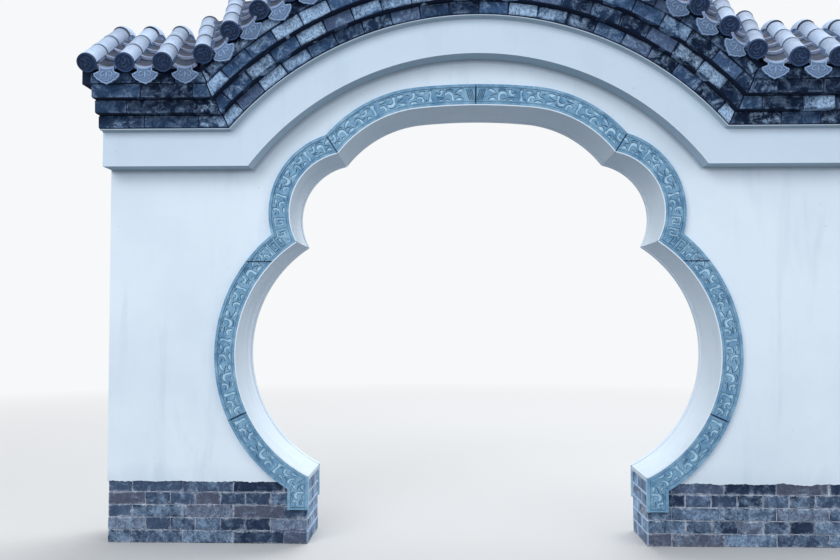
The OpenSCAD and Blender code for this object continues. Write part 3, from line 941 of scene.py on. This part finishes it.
SPIRAL = 66, (
    ([(8, 28), (58, 28), (58, -30), (16, -30), (16, 14), (44, 14), (44, -14), (30, -14)], (1.8,), 0),
)
HOOK = 66, (([(14, -26), (14, 24), (50, 24), (50, -14), (32, -14), (32, 4)], (8,), 0),)


def carved_plate(cells, length, before, after):
    """A long flat plate of carving, drawn straight, with the sunk ground showing through it. It runs
    on past its first and last cells by a little."""
    bm = bmesh.new()
    shade_and_grime = bm.verts.layers.float.new("shade_and_grime")
    scale = length / sum(cell[0] for cell in cells)
    whole = length + before + after
    count = round(whole / 0.008)
    near = [(whole * i / count - before, -0.0385) for i in range(count + 1)]
    loops = [near + [(x, 0.036) for x, y in reversed(near)]]
    along = 0
    for i, (size, strokes) in enumerate(cells):
        flip = -1 if i % 4 > 1 and size == CELL else 1
        for drawn in strokes:
            spots = [Vector(((along + x) * scale, flip * y * 0.001, 0)) for x, y in stroke(*drawn)]
            loops.append([spot + noise.noise_vector(spot * 25) * 0.0014 for spot in spots])
        along += size
    for loop in loops:
        corners = [bm.verts.new((spot[0], spot[1], -0.0005)) for spot in loop]
        for a, b in zip(corners, corners[1:] + corners[:1]):
            bm.edges.new((a, b))
    bmesh.ops.triangle_fill(bm, edges=bm.edges[:], use_beauty=True, use_dissolve=False)
    made = push(bm, bm.faces[:], shift(z=0.0011))
    slopes = ((0.0010, 0.0044), (0.0008, 0.0010), (0.0016, 0.0001))
    for wide, rise in slopes:
        bmesh.ops.inset_region(bm, faces=made, thickness=wide)
        raised = list({vert for face in made for vert in face.verts})
        bmesh.ops.transform(bm, matrix=shift(z=rise), verts=raised)
    # Painted shade: full at the carving's foot, less on its sides, none on its top
    for vert in bm.verts:
        vert[shade_and_grime] = 1 if vert.co.z < 0.002 else 0.4 if vert.co.z < 0.00605 else 0
    return bm


def bend(bm, run, start, out):
    """Lays what was drawn straight along a run of the band, out from the middle of the wall."""
    for vert in bm.verts:
        spot = run.point(start + vert.co.x, vert.co.y)
        vert.co = (spot.x, -(out + vert.co.z), spot.y)


def trim(bm, cut_in, cut_out):
    """Cuts a bent stretch where it meets the next ones."""
    for line, way in ((cut_in, -1), (cut_out, 1)):
        if line:
            along = (line[2] - line[0]).normalized()
            away = Vector((along.y, 0, -along.x)) * way
            cut(bm, Vector((line[0].x, 0, line[0].y)) - away * 0.0015, away)


# The corners of the band at its inner edge, its middle and its outer edge
ACROSS = (0, HALF_BAND, BAND_W)
UPPER = [meet(SIDE_C, SIDE_R + d, HAUNCH_C, HAUNCH_R + d) for d in ACROSS]
LOWER = [meet(LOBE_C, LOBE_R + d, SIDE_C, SIDE_R + d) for d in ACROSS]
FOOT = [
    Vector((JAMB + d, LOBE_C.y - math.sqrt((LOBE_R + d) ** 2 - (JAMB + d - LOBE_C.x) ** 2)))
    for d in ACROSS
]
TOUCH = math.asin(HAUNCH_C.x / (CROWN_R - HAUNCH_R))
LOBE_MIDDLE = LOBE_R + HALF_BAND
HAUNCH_JOINT = math.acos((HAUNCH_JOINT_Z - LOBE_C.y) / LOBE_MIDDLE)
FOOT_JOINT = math.radians(90 + FOOT_JOINT_ANGLE)

# The joints between the stones: a point in the middle of the band and the way the joint runs
SEAMS = (
    (on_ring(CROWN_C, CROWN_R + HALF_BAND, 0), Vector((0, 1))),
    (UPPER[1], (UPPER[2] - UPPER[0]).normalized()),
    (on_ring(LOBE_C, LOBE_MIDDLE, HAUNCH_JOINT), Vector((1, 0))),
    (on_ring(LOBE_C, LOBE_MIDDLE, FOOT_JOINT), on_ring(Vector((0, 0)), 1, FOOT_JOINT)),
)


def band_runs():
    """The right half of the band: each run, the cells carved on it and where it is cut."""
    crown = Run(
        (CROWN_C, CROWN_R + HALF_BAND, 0, TOUCH),
        (HAUNCH_C, HAUNCH_R + HALF_BAND, TOUCH, heading(HAUNCH_C, UPPER[1])),
    )
    side = Run((SIDE_C, SIDE_R + HALF_BAND, heading(SIDE_C, UPPER[1]), heading(SIDE_C, LOWER[1])))
    hook = Run((LOBE_C, LOBE_MIDDLE, heading(LOBE_C, LOWER[1]), HAUNCH_JOINT))
    haunch = Run((LOBE_C, LOBE_MIDDLE, HAUNCH_JOINT, FOOT_JOINT))
    foot = Run((LOBE_C, LOBE_MIDDLE, FOOT_JOINT, heading(LOBE_C, FOOT[1])))
    down = math.pi / 2 + (FOOT[1].y - FOOT_Z) / STRAIGHT
    stem = Run((Vector((FOOT[1].x - STRAIGHT, FOOT[1].y)), STRAIGHT, math.pi / 2, down))
    scroll = (LEAF, WAVE) * 8
    cell, hooks = CELL / 1000, 2 * HOOK[0] / 1000
    return (
        (crown, (FAN, *scroll[:round(crown.length / cell - 0.4)]), None, UPPER),
        (side, (*scroll[:round((side.length - hooks) / cell)], HOOK, HOOK), UPPER, LOWER),
        (hook, (SPIRAL, SPIRAL, WAVE), LOWER, None),
        (haunch, scroll[:round(haunch.length / cell)], None, None),
        (foot, scroll[1:round(foot.length / cell) + 1], None, FOOT),
        (stem, (LEAF,), FOOT, None),
    )


# ---- The operators, in the order in which they run


class GATE_OT_stage(bpy.types.Operator):
    """Makes the floor, the lights and the camera"""

    bl_idname = "moon_gate.stage"
    bl_label = "Stage"
    bl_options = {"REGISTER", "UNDO"}

    def execute(self, context):
        scene = context.scene
        scene.view_settings.view_transform = "Standard"
        self.floor(scene)
        self.sky(scene)
        for name, place, size, power in (
            ("key", (-4.0, -9.0, 5.8), 7.0, 610),
            ("fill", (6.5, -7.0, 3.0), 6.0, 170),
            ("rim", (2.0, 5.5, 9.5), 8.0, 940),
        ):
            lamp = bpy.data.lights.new(name, "AREA")
            lamp.size, lamp.energy = size, power
            light = bpy.data.objects.new(name, lamp)
            light.location = place
            light.visible_camera = False
            aim = Vector((0, 0, 1.5)) - light.location
            light.rotation_euler = aim.to_track_quat("-Z", "Y").to_euler()
            scene.collection.objects.link(light)
        data = bpy.data.cameras.new("camera")
        data.lens = PHOTO_FOCAL / PHOTO_WIDTH * data.sensor_width
        camera = bpy.data.objects.new("camera", data)
        camera.location = (-0.14, -4.861, 1.166)
        camera.rotation_euler = (math.radians(92.2), 0, math.radians(1.8))
        scene.collection.objects.link(camera)
        scene.camera = camera
        return {"FINISHED"}

    def floor(self, scene):
        """A pale floor that fades into the backdrop far from the gate."""
        mesh = bpy.data.meshes.new("floor")
        bm = bmesh.new()
        bmesh.ops.create_circle(bm, cap_ends=True, segments=96, radius=70)
        bm.to_mesh(mesh)
        bm.free()
        floor = bpy.data.objects.new("floor", mesh)
        scene.collection.objects.link(floor)
        recipe = Recipe("floor", roughness=0.95, specular=0.1)
        glow = recipe.node("ShaderNodeEmission", {"Color": BACKDROP, "Strength": 1.0})
        path = recipe.node("ShaderNodeLightPath")
        camera, glossy = path.outputs["Is Camera Ray"], path.outputs["Is Glossy Ray"]
        recipe.base = recipe.blend(camera, (0.30, 0.31, 0.33, 1), (0.56, 0.57, 0.58, 1))
        seen = recipe.math("MAXIMUM", camera, glossy)
        far = recipe.times(seen, recipe.fade(recipe.length(recipe.place), 3.5, 11.0))
        shares = (far, recipe.shader.outputs[0], glow.outputs[0])
        mixed = recipe.node("ShaderNodeMixShader", enumerate(shares))
        recipe.feed(recipe.tree.nodes["Material Output"].inputs["Surface"], mixed.outputs[0])
        mesh.materials.append(recipe.finish())

    def sky(self, scene):
        """Soft light from all around, with the backdrop behind it."""
        world = bpy.data.worlds.new("studio")
        world.use_nodes = True
        tree = world.node_tree
        light = tree.nodes["Background"]
        light.inputs["Color"].default_value = (0.95, 0.975, 1, 1)
        light.inputs["Strength"].default_value = 0.72
        seen = tree.nodes.new("ShaderNodeBackground")
        seen.inputs["Color"].default_value = BACKDROP
        path = tree.nodes.new("ShaderNodeLightPath")
        most = tree.nodes.new("ShaderNodeMath")
        mixed = tree.nodes.new("ShaderNodeMixShader")
        most.operation = "MAXIMUM"
        for way_out, way_in in (
            (path.outputs["Is Camera Ray"], most.inputs[0]),
            (path.outputs["Is Glossy Ray"], most.inputs[1]),
            (most.outputs[0], mixed.inputs[0]),
            (light.outputs[0], mixed.inputs[1]),
            (seen.outputs[0], mixed.inputs[2]),
            (mixed.outputs[0], tree.nodes["World Output"].inputs["Surface"]),
        ):
            tree.links.new(way_out, way_in)
        scene.world = world


class GATE_OT_plaster(bpy.types.Operator):
    """Plasters the walls and friezes, and finishes the nodes that carry the rest"""

    bl_idname = "moon_gate.plaster"
    bl_label = "Plaster"
    bl_options = {"REGISTER", "UNDO"}

    def execute(self, context):
        begin(context)
        # The third number is how much painted shade the undersides take: some on the wall, all on the
        # frieze and its coves
        wall = plaster_finish("wall_plaster", "plaster", 0.45, wall=True)
        # The frieze's plaster is darker than the wall's, as painted shade under the eave
        frieze = plaster_finish("frieze_plaster", "frieze", 1.0)
        # The cornice's mortar and the roof's bed are near black: painted shade in the gaps between
        # courses and under the drips, with some grime
        mortar = mortar_finish("cornice_mortar", "brick_dark", "shade_and_grime")
        stone = stone_finish("carved_stone", True)
        bed = mortar_finish("roof_bed", "brick_dark", "shade_and_grime", plastered=True)
        finishes = {"wall": wall, "frieze": frieze, "stone": stone, "bed": bed}
        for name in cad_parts:
            dress(name, finishes.get(name.rsplit("_", 1)[-1], mortar))
        self.coves(frieze)
        self.ragged_edge(wall)
        self.lining(wall)
        return {"FINISHED"}

    def lining(self, finish):
        """The edge of the reveals' plaster, which shows as a thin line inside the stone band."""
        pile = Pile("plaster_lining", finish, "plaster")
        for run, _, cut_in, cut_out in band_runs()[:-1]:
            bm = bmesh.new()
            before, after = MITRE if cut_in else 0, MITRE if cut_out else 0
            middle = shift((run.length + after - before) / 2, -HALF_BAND - 0.0018, HALF_T - 0.004)
            flat = middle @ stretch(run.length + before + after, 0.0052, 1)
            count = round(run.length / 0.02)
            bmesh.ops.create_grid(bm, x_segments=count, y_segments=1, size=0.5, matrix=flat)
            push(bm, bm.faces[:], shift(z=BAND_FACE - HALF_T + 0.005))
            bend(bm, run, 0, 0)
            trim(bm, cut_in, cut_out)
            mesh = keep(bm)
            for face in (-1, 1):
                for side in (-1, 1):
                    pile.add(mesh, stretch(side, face, 1))
        pile.place()

    def coves(self, finish):
        """The thin plaster under the first course of the cornice."""
        pile = Pile("frieze_cove", finish, "frieze_plaster")
        low, radius = LEDGE_Z + FRIEZE_H, ARCH_R + FRIEZE_H
        end = math.acos((low - ARCH_Z) / radius)
        corner = radius * math.sin(end)
        inner, outer = FRIEZE_Y - 0.001, FRIEZE_Y + CORNICE_STEP - 0.003
        section = (
            (inner, -0.010), (inner + 0.012, -0.004), (outer, -0.004), (outer, 0.001), (inner, 0.001),
        )
        for face in (-1, 1):
            bm = bmesh.new()
            made = outline(bm, [(0, face * y, radius + z) for y, z in section])
            move(bm, turn(-end, "Y"))
            draw_out(bm, made, turn(end / 32, "Y"), 64)
            pile.add(keep(bm), shift(z=ARCH_Z))
            for side in (-1, 1):
                bm = bmesh.new()
                made = outline(bm, [(side * corner, face * y, low + z) for y, z in section])
                push(bm, made, shift(x=side * (HALF_L - corner)))
                pile.add(keep(bm), Matrix())
        pile.place()

    def ragged_edge(self, finish):
        """Plaster that hangs over the plinth's top course with a broken lower edge."""
        chance = draw("edge")
        pile = Pile("plaster_edge", finish, "plaster")
        face_length, middle = HALF_L - JAMB, (HALF_L + JAMB) / 2
        for side in (-1, 1):
            for length, place in (
                (face_length, shift(side * middle, -HALF_T, PLINTH_H)),
                (face_length, shift(side * middle, HALF_T, PLINTH_H) @ turn(math.pi, "Z")),
                (2 * HALF_T, shift(side * HALF_L, 0, PLINTH_H) @ turn(side * math.pi / 2, "Z")),
            ):
                bm = bmesh.new()
                columns = int(length / 0.007)
                upright = turn(math.pi / 2, "X")
                bmesh.ops.create_grid(bm, x_segments=columns, y_segments=1, size=0.5, matrix=upright)
                seed = chance.uniform(0, 90)
                for vert in bm.verts:
                    low = vert.co.z < 0
                    vert.co.x *= length
                    broad = noise.noise(Vector((vert.co.x * 11 + seed, seed, 0)))
                    fine = noise.noise(Vector((vert.co.x * 62, seed, 1)))
                    vert.co.z = -0.010 - 0.008 * broad - 0.005 * fine if low else 0.002
                push(bm, bm.faces[:], shift(y=0.0065))
                pile.add(keep(bm), place @ shift(y=-0.0005))
        pile.place()


class GATE_OT_plinth(bpy.types.Operator):
    """Lays the plinth's bricks in alternate courses of stretchers and headers"""

    bl_idname = "moon_gate.plinth"
    bl_label = "Plinth"
    bl_options = {"REGISTER", "UNDO"}

    def execute(self, context):
        sizes = begin(context)
        finish = brick_finish("plinth_brick", "brick", "brick_dark", "mortar", 0.5, 0.2, 0.5, jamb=0.8)
        mortar = mortar_finish("plinth_mortar", "mortar", "brick")
        lime = mortar_finish("jamb_pointing", "plaster", "salt")
        for side, name in ((-1, "left"), (1, "right")):
            self.bricks(side, name, finish, sizes)
            self.core(side, name, mortar, sizes)
            self.pointing(side, name, lime, sizes)
        return {"FINISHED"}

    def bricks(self, side, name, finish, sizes):
        """Five courses of bricks, each a little out of line and with its own tone."""
        chance = draw(name)
        pile = Pile(f"{name}_plinth_bricks", finish, "plinth_brick", (f"{name}_plinth",))
        for course in range(PLINTH_COURSES):
            for x, y, length, depth in self.bond(course, sizes):
                mesh = keep(block(length, depth, COURSE_H - sizes.joint, 0.002))
                z = (course + 0.5) * COURSE_H + chance.uniform(-0.001, 0.001)
                jitter = shift(chance.uniform(-0.0015, 0.0015), chance.uniform(-0.001, 0.001))
                tilt = turn(chance.uniform(-0.008, 0.008), "Y")
                tone, salt = chance.uniform(0, 1), chance.uniform(0, 1) * (1.1 - 0.18 * course)
                pile.add(mesh, shift(side * x, y, z) @ jitter @ tilt, tone, salt)
                bpy.data.meshes.remove(mesh)
        pile.settle(0.0016, 22)
        pile.place()

    def bond(self, course, sizes):
        """The bricks of one course on the right side: middle x, middle y, length along X and depth."""
        near, far = JAMB + sizes.recess, HALF_L - sizes.recess
        face = HALF_T - sizes.recess
        joint, long, short = sizes.joint, sizes.brick, sizes.header
        flip = 1 if course % 2 == 0 else -1
        cut_long = long * 0.77
        thin, deep = short - joint / 2, 2 * face - short - joint / 2
        front, back = flip * (face - thin / 2), -flip * (face - deep / 2)
        bricks = []
        for edge, way in ((near, 1), (far, -1)):
            bricks.append((edge + way * short / 2, back, short, deep))
            bricks.append((edge + way * cut_long / 2, front, cut_long, thin))
        for y, depth, start, step in (
            (-front, thin, short + joint, long + joint), (-back, deep, cut_long + joint, short + joint),
        ):
            left, right = near + start, far - start
            count = max(1, round((right - left + joint) / step))
            pitch = (right - left + joint) / count
            middles = [left + (i + 0.5) * pitch - joint / 2 for i in range(count)]
            bricks += [(x, y, pitch - joint, depth) for x in middles]
        return bricks

    def core(self, side, name, finish, sizes):
        """The mortar that shows between the bricks."""
        pile = Pile(f"{name}_plinth_mortar", finish, "plinth_brick")
        gap = sizes.recess + 0.0036
        near, far = JAMB + sizes.recess + 0.0012, HALF_L - gap
        bm = bmesh.new()
        size = stretch(far - near, 2 * (HALF_T - gap), PLINTH_H - 0.001)
        bmesh.ops.create_cube(bm, size=1, matrix=size)
        pile.add(keep(bm), shift(side * (near + far) / 2, 0, PLINTH_H / 2))
        pile.place()

    def pointing(self, side, name, finish, sizes):
        """The pale joints of the jamb, a little proud of its bricks."""
        pile = Pile(f"{name}_jamb_pointing", finish, "plinth_brick")
        depth, proud = 0.008, 0.002
        for y, z, wide, high in self.jamb_joints(sizes):
            bm = bmesh.new()
            corners = ((0, -high / 2), (depth, -high / 2), (depth, high / 2), (0, high / 2))
            made = outline(bm, [(into, -wide / 2, up) for into, up in corners])
            draw_out(bm, made, shift(y=wide / 8), 8)
            pile.add(keep(bm), stretch(side, 1, 1) @ shift(JAMB + sizes.recess - proud, y, z))
        pile.settle(0.001, 60)
        pile.place()

    def jamb_joints(self, sizes):
        """The joints that show on the jamb: middle y, middle z, width along Y and height."""
        face, wide = HALF_T - sizes.recess, sizes.joint + 0.002
        short = 0.004
        joints = [(0, course * COURSE_H, 2 * face - short, wide) for course in range(1, PLINTH_COURSES)]
        for course in range(PLINTH_COURSES):
            y = (face - sizes.header) * (1 if course % 2 == 0 else -1)
            joints.append((y, (course + 0.5) * COURSE_H, wide, COURSE_H - short))
        return joints


class Course:
    """One course of the cornice's bricks. Low is its foot above the ledge, face is how far its front
    stands from the middle of the wall, and drop is how far its bricks hang below its foot."""

    def __init__(self, name, finish, chance, sizes, low, height, drop, face):
        self.pile = Pile(name, finish, "cornice_brick")
        self.chance, self.sizes = chance, sizes
        self.low, self.height, self.drop, self.face = low, height, drop, face
        self.middle = LEDGE_Z + low + CORNICE_COURSE / 2 - drop / 2
        self.corner, self.top = self.mitre(low), self.mitre(low + CORNICE_COURSE)
        self.line = (self.top - self.corner).normalized()
        self.gap = sizes.joint * 0.6

    def mitre(self, rise):
        """Where the arch and the flank meet at this height above the ledge."""
        z = LEDGE_Z + rise
        return Vector((math.sqrt((ARCH_R + rise) ** 2 - (z - ARCH_Z) ** 2), 0, z))

    def split(self, bm, side, way):
        """Cuts a brick off at the mitre. Way is 1 for the arch's bricks and -1 for the flank's."""
        away = Vector((way * side * self.line.z, 0, -way * self.line.x))
        cut(bm, Vector((side * (self.corner.x - way * MITRE_GAP), 0, self.corner.z)), away)

    def lay(self, bm, turned, dark, light, less=0.0):
        """Adds a brick of a tone from dark to light, if the cuts have left any of it."""
        if not bm.faces:
            bm.free()
            return
        chance = self.chance
        tone = chance.uniform(dark, light)
        mesh = keep(bm)
        salt = chance.choice((-0.1, 0.1, 0.25, 0.4, 0.7, 1.1)) + chance.uniform(-0.1, 0.1) - less
        self.pile.add(mesh, turned @ shift(y=chance.uniform(-0.002, 0.002)), tone, salt)
        bpy.data.meshes.remove(mesh)

    def ring(self):
        """The bricks along both faces: over the arch and along the flanks."""
        for turned in BOTH_FACES:
            self.arch(turned)
            for side in (-1, 1):
                self.flank(side, turned)

    def arch(self, turned):
        """Bricks of one length around the arch, which start at a place drawn by chance."""
        radius = ARCH_R + self.low + CORNICE_COURSE / 2
        end = math.atan2(self.top.x, self.top.z - ARCH_Z)
        count = round(2 * end * radius / (self.sizes.cornice_brick + self.sizes.joint))
        offset = self.chance.uniform(0, 1)
        pitch = 2 * end / count
        length = pitch * (radius - self.height / 2) - self.gap
        for i in range(-1, count + 1):
            bm = block(length, CORNICE_DEPTH, self.height, 0.0035)
            tilt = turn(self.chance.uniform(-0.012, 0.012), "Y")
            out = shift(0, -self.face + CORNICE_DEPTH / 2, radius - self.drop / 2)
            move(bm, shift(z=ARCH_Z) @ turn(-end + (i + offset) * pitch, "Y") @ out @ tilt)
            for side in (-1, 1):
                self.split(bm, side, 1)
            self.lay(bm, turned, -0.2, 1.1)

    def flank(self, side, turned):
        """Bricks of many lengths from the mitre to the end of the wall."""
        x = min(self.top.x, self.corner.x) - self.chance.uniform(0, 0.12)
        end, shortest = HALF_L + self.sizes.proud, 0.08
        while x < end:
            length = min(self.sizes.cornice_flank * self.chance.uniform(0.55, 1.1), end - x)
            if end - x - length < shortest:
                length = end - x
            bm = block(length - self.gap, CORNICE_DEPTH, self.height, 0.0035)
            tilt = turn(self.chance.uniform(-0.006, 0.006), "Y")
            move(bm, shift(side * (x + length / 2), -self.face + CORNICE_DEPTH / 2, self.middle) @ tilt)
            self.split(bm, side, -1)
            x += length
            self.lay(bm, turned, -0.4, 0.5, 0.35)

    def ends(self):
        """The bricks across both ends of the wall."""
        reach = self.face - CORNICE_DEPTH
        count = max(2, round(2 * reach / self.sizes.cornice_flank))
        pitch = 2 * reach / count
        x = HALF_L + self.sizes.proud - CORNICE_DEPTH / 2
        for side in (-1, 1):
            for i in range(count):
                bm = block(CORNICE_DEPTH, pitch - self.sizes.joint, self.height, 0.005)
                move(bm, shift(side * x, -reach + (i + 0.5) * pitch, self.middle))
                self.lay(bm, Matrix(), 0, 0.9)


class GATE_OT_cornice(bpy.types.Operator):
    """Lays the three courses of the cornice over the arch, the flanks and the ends"""

    bl_idname = "moon_gate.cornice"
    bl_label = "Cornice"
    bl_options = {"REGISTER", "UNDO"}

    def execute(self, context):
        sizes = begin(context)
        finish = brick_finish("cornice_brick", "cornice", "cornice_dark", "pale_wear_and_highlight", 0.95, 0.5, 0.3)
        for i in range(CORNICE_COURSES):
            drop = 0.003 if i else -0.001
            low, face = FRIEZE_H + i * CORNICE_COURSE, FRIEZE_Y + (i + 1) * CORNICE_STEP + sizes.proud
            height = CORNICE_COURSE - 0.006 + drop
            name, chance = f"cornice_course_{i + 1}", draw(f"course {i}")
            course = Course(name, finish, chance, sizes, low, height, drop, face)
            course.ring()
            course.ends()
            course.pile.settle(0.003, 14)
            course.pile.place()
        face = FRIEZE_Y + CORNICE_COURSES * CORNICE_STEP + 0.012
        filling = Course("eave_filling", finish, draw("filling"), sizes, CORNICE_H, 0.050, 0.013, face)
        filling.ring()
        filling.pile.settle(0.007, 18)
        filling.pile.place()
        return {"FINISHED"}


class GATE_OT_covers(bpy.types.Operator):
    """Lays the half round cover tiles up both slopes and over the ridge"""

    bl_idname = "moon_gate.covers"
    bl_label = "Cover tiles"
    bl_options = {"REGISTER", "UNDO"}

    def execute(self, context):
        sizes = begin(context)
        piles = roof_piles("cover", tile_finish("cover_tile", "cover", 0.55))
        beds = Pile("row_mortar", mortar_finish("row_mortar", "bed", "cornice"), "roof_mortar")
        count = round(ROW_L / sizes.cover)
        each, lap = ROW_L / count, 0.012
        tile, saddle = cover_tile(each + lap, each), saddle_tile(SLOPE + 0.004)
        bar, hump = mortar_bar(ROW_L + 0.004), mortar_saddle(SLOPE + 0.03)
        chance = draw("covers")
        for row in cover_rows():
            step = row.length / count
            for turned in BOTH_FACES:
                foot = turned @ row.foot
                for i in range(count):
                    wobble = turn(chance.uniform(-0.012, 0.012), "Z")
                    wobble @= turn(chance.uniform(-0.02, 0.02), "Y")
                    lift = shift(chance.uniform(-0.001, 0.001), i * step, chance.uniform(-0.001, 0.001))
                    piles[row.on(turned)].add(tile, foot @ lift @ wobble, chance.uniform(0.35, 1))
                beds.add(bar, foot @ shift(y=0.004))
            piles[row.part].add(saddle, row.crest @ shift(z=0.002), chance.uniform(0.35, 1))
            beds.add(hump, row.crest)
        for pile in piles.values():
            pile.place(smooth=True)
        beds.settle(0.004, 40)
        beds.place(smooth=True)
        return {"FINISHED"}


class GATE_OT_pans(bpy.types.Operator):
    """Lays the hollow pan tiles, each lapped over the one below"""

    bl_idname = "moon_gate.pans"
    bl_label = "Pan tiles"
    bl_options = {"REGISTER", "UNDO"}

    def execute(self, context):
        sizes = begin(context)
        piles = roof_piles("pan", tile_finish("pan_tile", "pan", 0.5))
        lap, rise, tilt = 0.045, 0.027, -0.085
        length = sizes.pan + lap
        tile, cap = pan_tile(length), pan_saddle(SLOPE + 0.02)
        chance = draw("pans")
        for row in pan_rows():
            count = round(row.length / sizes.pan)
            for turned in BOTH_FACES:
                foot = turned @ row.foot
                for i in range(count):
                    y = i * (row.length + 0.006) / count
                    spot = shift(chance.uniform(-0.001, 0.001), y, -SEAT + rise) @ turn(tilt, "X")
                    if i == 0:
                        spot = shift(0, 0.003, -SEAT + 0.012)
                    roll = turn(chance.uniform(-0.04, 0.04), "Y")
                    short = stretch(1, min(1.0, (row.length + 0.004 - y) / length), 1)
                    piles[row.on(turned)].add(tile, foot @ spot @ roll @ short, chance.uniform(0.2, 1))
            piles[row.part].add(cap, row.crest, chance.uniform(0.3, 0.9))
        for pile in piles.values():
            pile.place(smooth=True)
        return {"FINISHED"}


class GATE_OT_eaves(bpy.types.Operator):
    """Hangs the drip tiles and closes the rows with round caps"""

    bl_idname = "moon_gate.eaves"
    bl_label = "Drip tiles and caps"
    bl_options = {"REGISTER", "UNDO"}

    def execute(self, context):
        begin(context)
        drip, cap = drip_plate(), end_cap()
        plates, rounds = tile_finish("drip_tile", "drip", 0.5), tile_finish("end_cap", "cap", 0.4, 0.7)
        chance = draw("eaves")
        for name, turned in zip(("front", "back"), BOTH_FACES):
            pile = Pile(f"{name}_drips", plates, "drip_tile", (f"{name}_drip_tiles",))
            for row in pan_rows():
                wobble = turn(chance.uniform(-0.03, 0.03), "Y") @ turn(chance.uniform(-0.03, 0.03), "X")
                pile.add(drip, turned @ row.foot @ turn(-SLOPE, "X") @ wobble, chance.uniform(0.3, 1))
            pile.place(smooth=True)
            pile = Pile(f"{name}_caps", rounds, "end_cap", (f"{name}_end_caps",))
            for row in cover_rows():
                spun = turn(chance.uniform(0, math.tau), "Y")
                wobble = turn(chance.uniform(-0.03, 0.03), "X")
                pile.add(cap, turned @ row.foot @ wobble @ spun, chance.uniform(0.3, 1))
            pile.place(smooth=True)
        return {"FINISHED"}


class GATE_OT_carving(bpy.types.Operator):
    """Carves the scrolls and the frets in the band's sunk field"""

    bl_idname = "moon_gate.carving"
    bl_label = "Carving"
    bl_options = {"REGISTER", "UNDO"}

    def execute(self, context):
        begin(context)
        finish = stone_finish("stone_relief", False)
        plates = [self.carve(*run) for run in band_runs()] + [self.sill()]
        for face, y in (("front", 1), ("back", -1)):
            for side, x in (("left", -1), ("right", 1)):
                pile = Pile(f"{face}_{side}_relief", finish, "carved_stone")
                for mesh in plates:
                    pile.add(mesh, stretch(x, y, 1))
                pile.place(smooth=True)
        return {"FINISHED"}

    def carve(self, run, cells, cut_in, cut_out):
        """The carving of one run, a little short of a joint and full up to a mitre."""
        gap = 0.003
        start = 0.0 if cut_in else gap
        end = run.length - (0.0 if cut_out else FILLET_W if len(cells) == 1 else gap)
        bm = carved_plate(cells, end - start, MITRE if cut_in else 0, MITRE if cut_out else 0)
        bend(bm, run, start, BAND_FACE - FIELD_DEPTH)
        trim(bm, cut_in, cut_out)
        return keep(bm)

    def sill(self):
        """The fillet that closes the foot of the band."""
        bm = block(BAND_W - 2 * FILLET_W + 0.002, FIELD_DEPTH + 0.001, FILLET_W - 0.002, 0.001, 0.002)
        out = BAND_FACE - FIELD_DEPTH / 2 - 0.0008
        move(bm, shift(JAMB + HALF_BAND, -out, FOOT_Z + FILLET_W / 2 - 0.001))
        return keep(bm)


class GATE_PT_panel(bpy.types.Panel):
    """Shows the gate's steps, with its sizes and colours"""

    bl_idname = "GATE_PT_panel"
    bl_label = "Moon gate"
    bl_space_type = "VIEW_3D"
    bl_region_type = "UI"
    bl_category = "Moon gate"

    def draw(self, context):
        layout = self.layout
        for step in STEPS:
            layout.operator(step.bl_idname)
        for group in (context.scene.gate_sizes, context.scene.gate_colours):
            box = layout.box()
            for name in group.__annotations__:
                box.prop(group, name)


STEPS = (
    GATE_OT_stage, GATE_OT_plaster, GATE_OT_plinth, GATE_OT_cornice,
    GATE_OT_covers, GATE_OT_pans, GATE_OT_eaves, GATE_OT_carving,
)
CLASSES = (GateColours, GateSizes, *STEPS, GATE_PT_panel)


def register():
    for cls in CLASSES:
        bpy.utils.register_class(cls)
    bpy.types.Scene.gate_colours = PointerProperty(type=GateColours)
    bpy.types.Scene.gate_sizes = PointerProperty(type=GateSizes)


def unregister():
    del bpy.types.Scene.gate_sizes
    del bpy.types.Scene.gate_colours
    for cls in reversed(CLASSES):
        bpy.utils.unregister_class(cls)


def main():
    register()
    for step in STEPS:
        group, name = step.bl_idname.split(".")
        getattr(getattr(bpy.ops, group), name)()


if __name__ == "__main__":
    main()
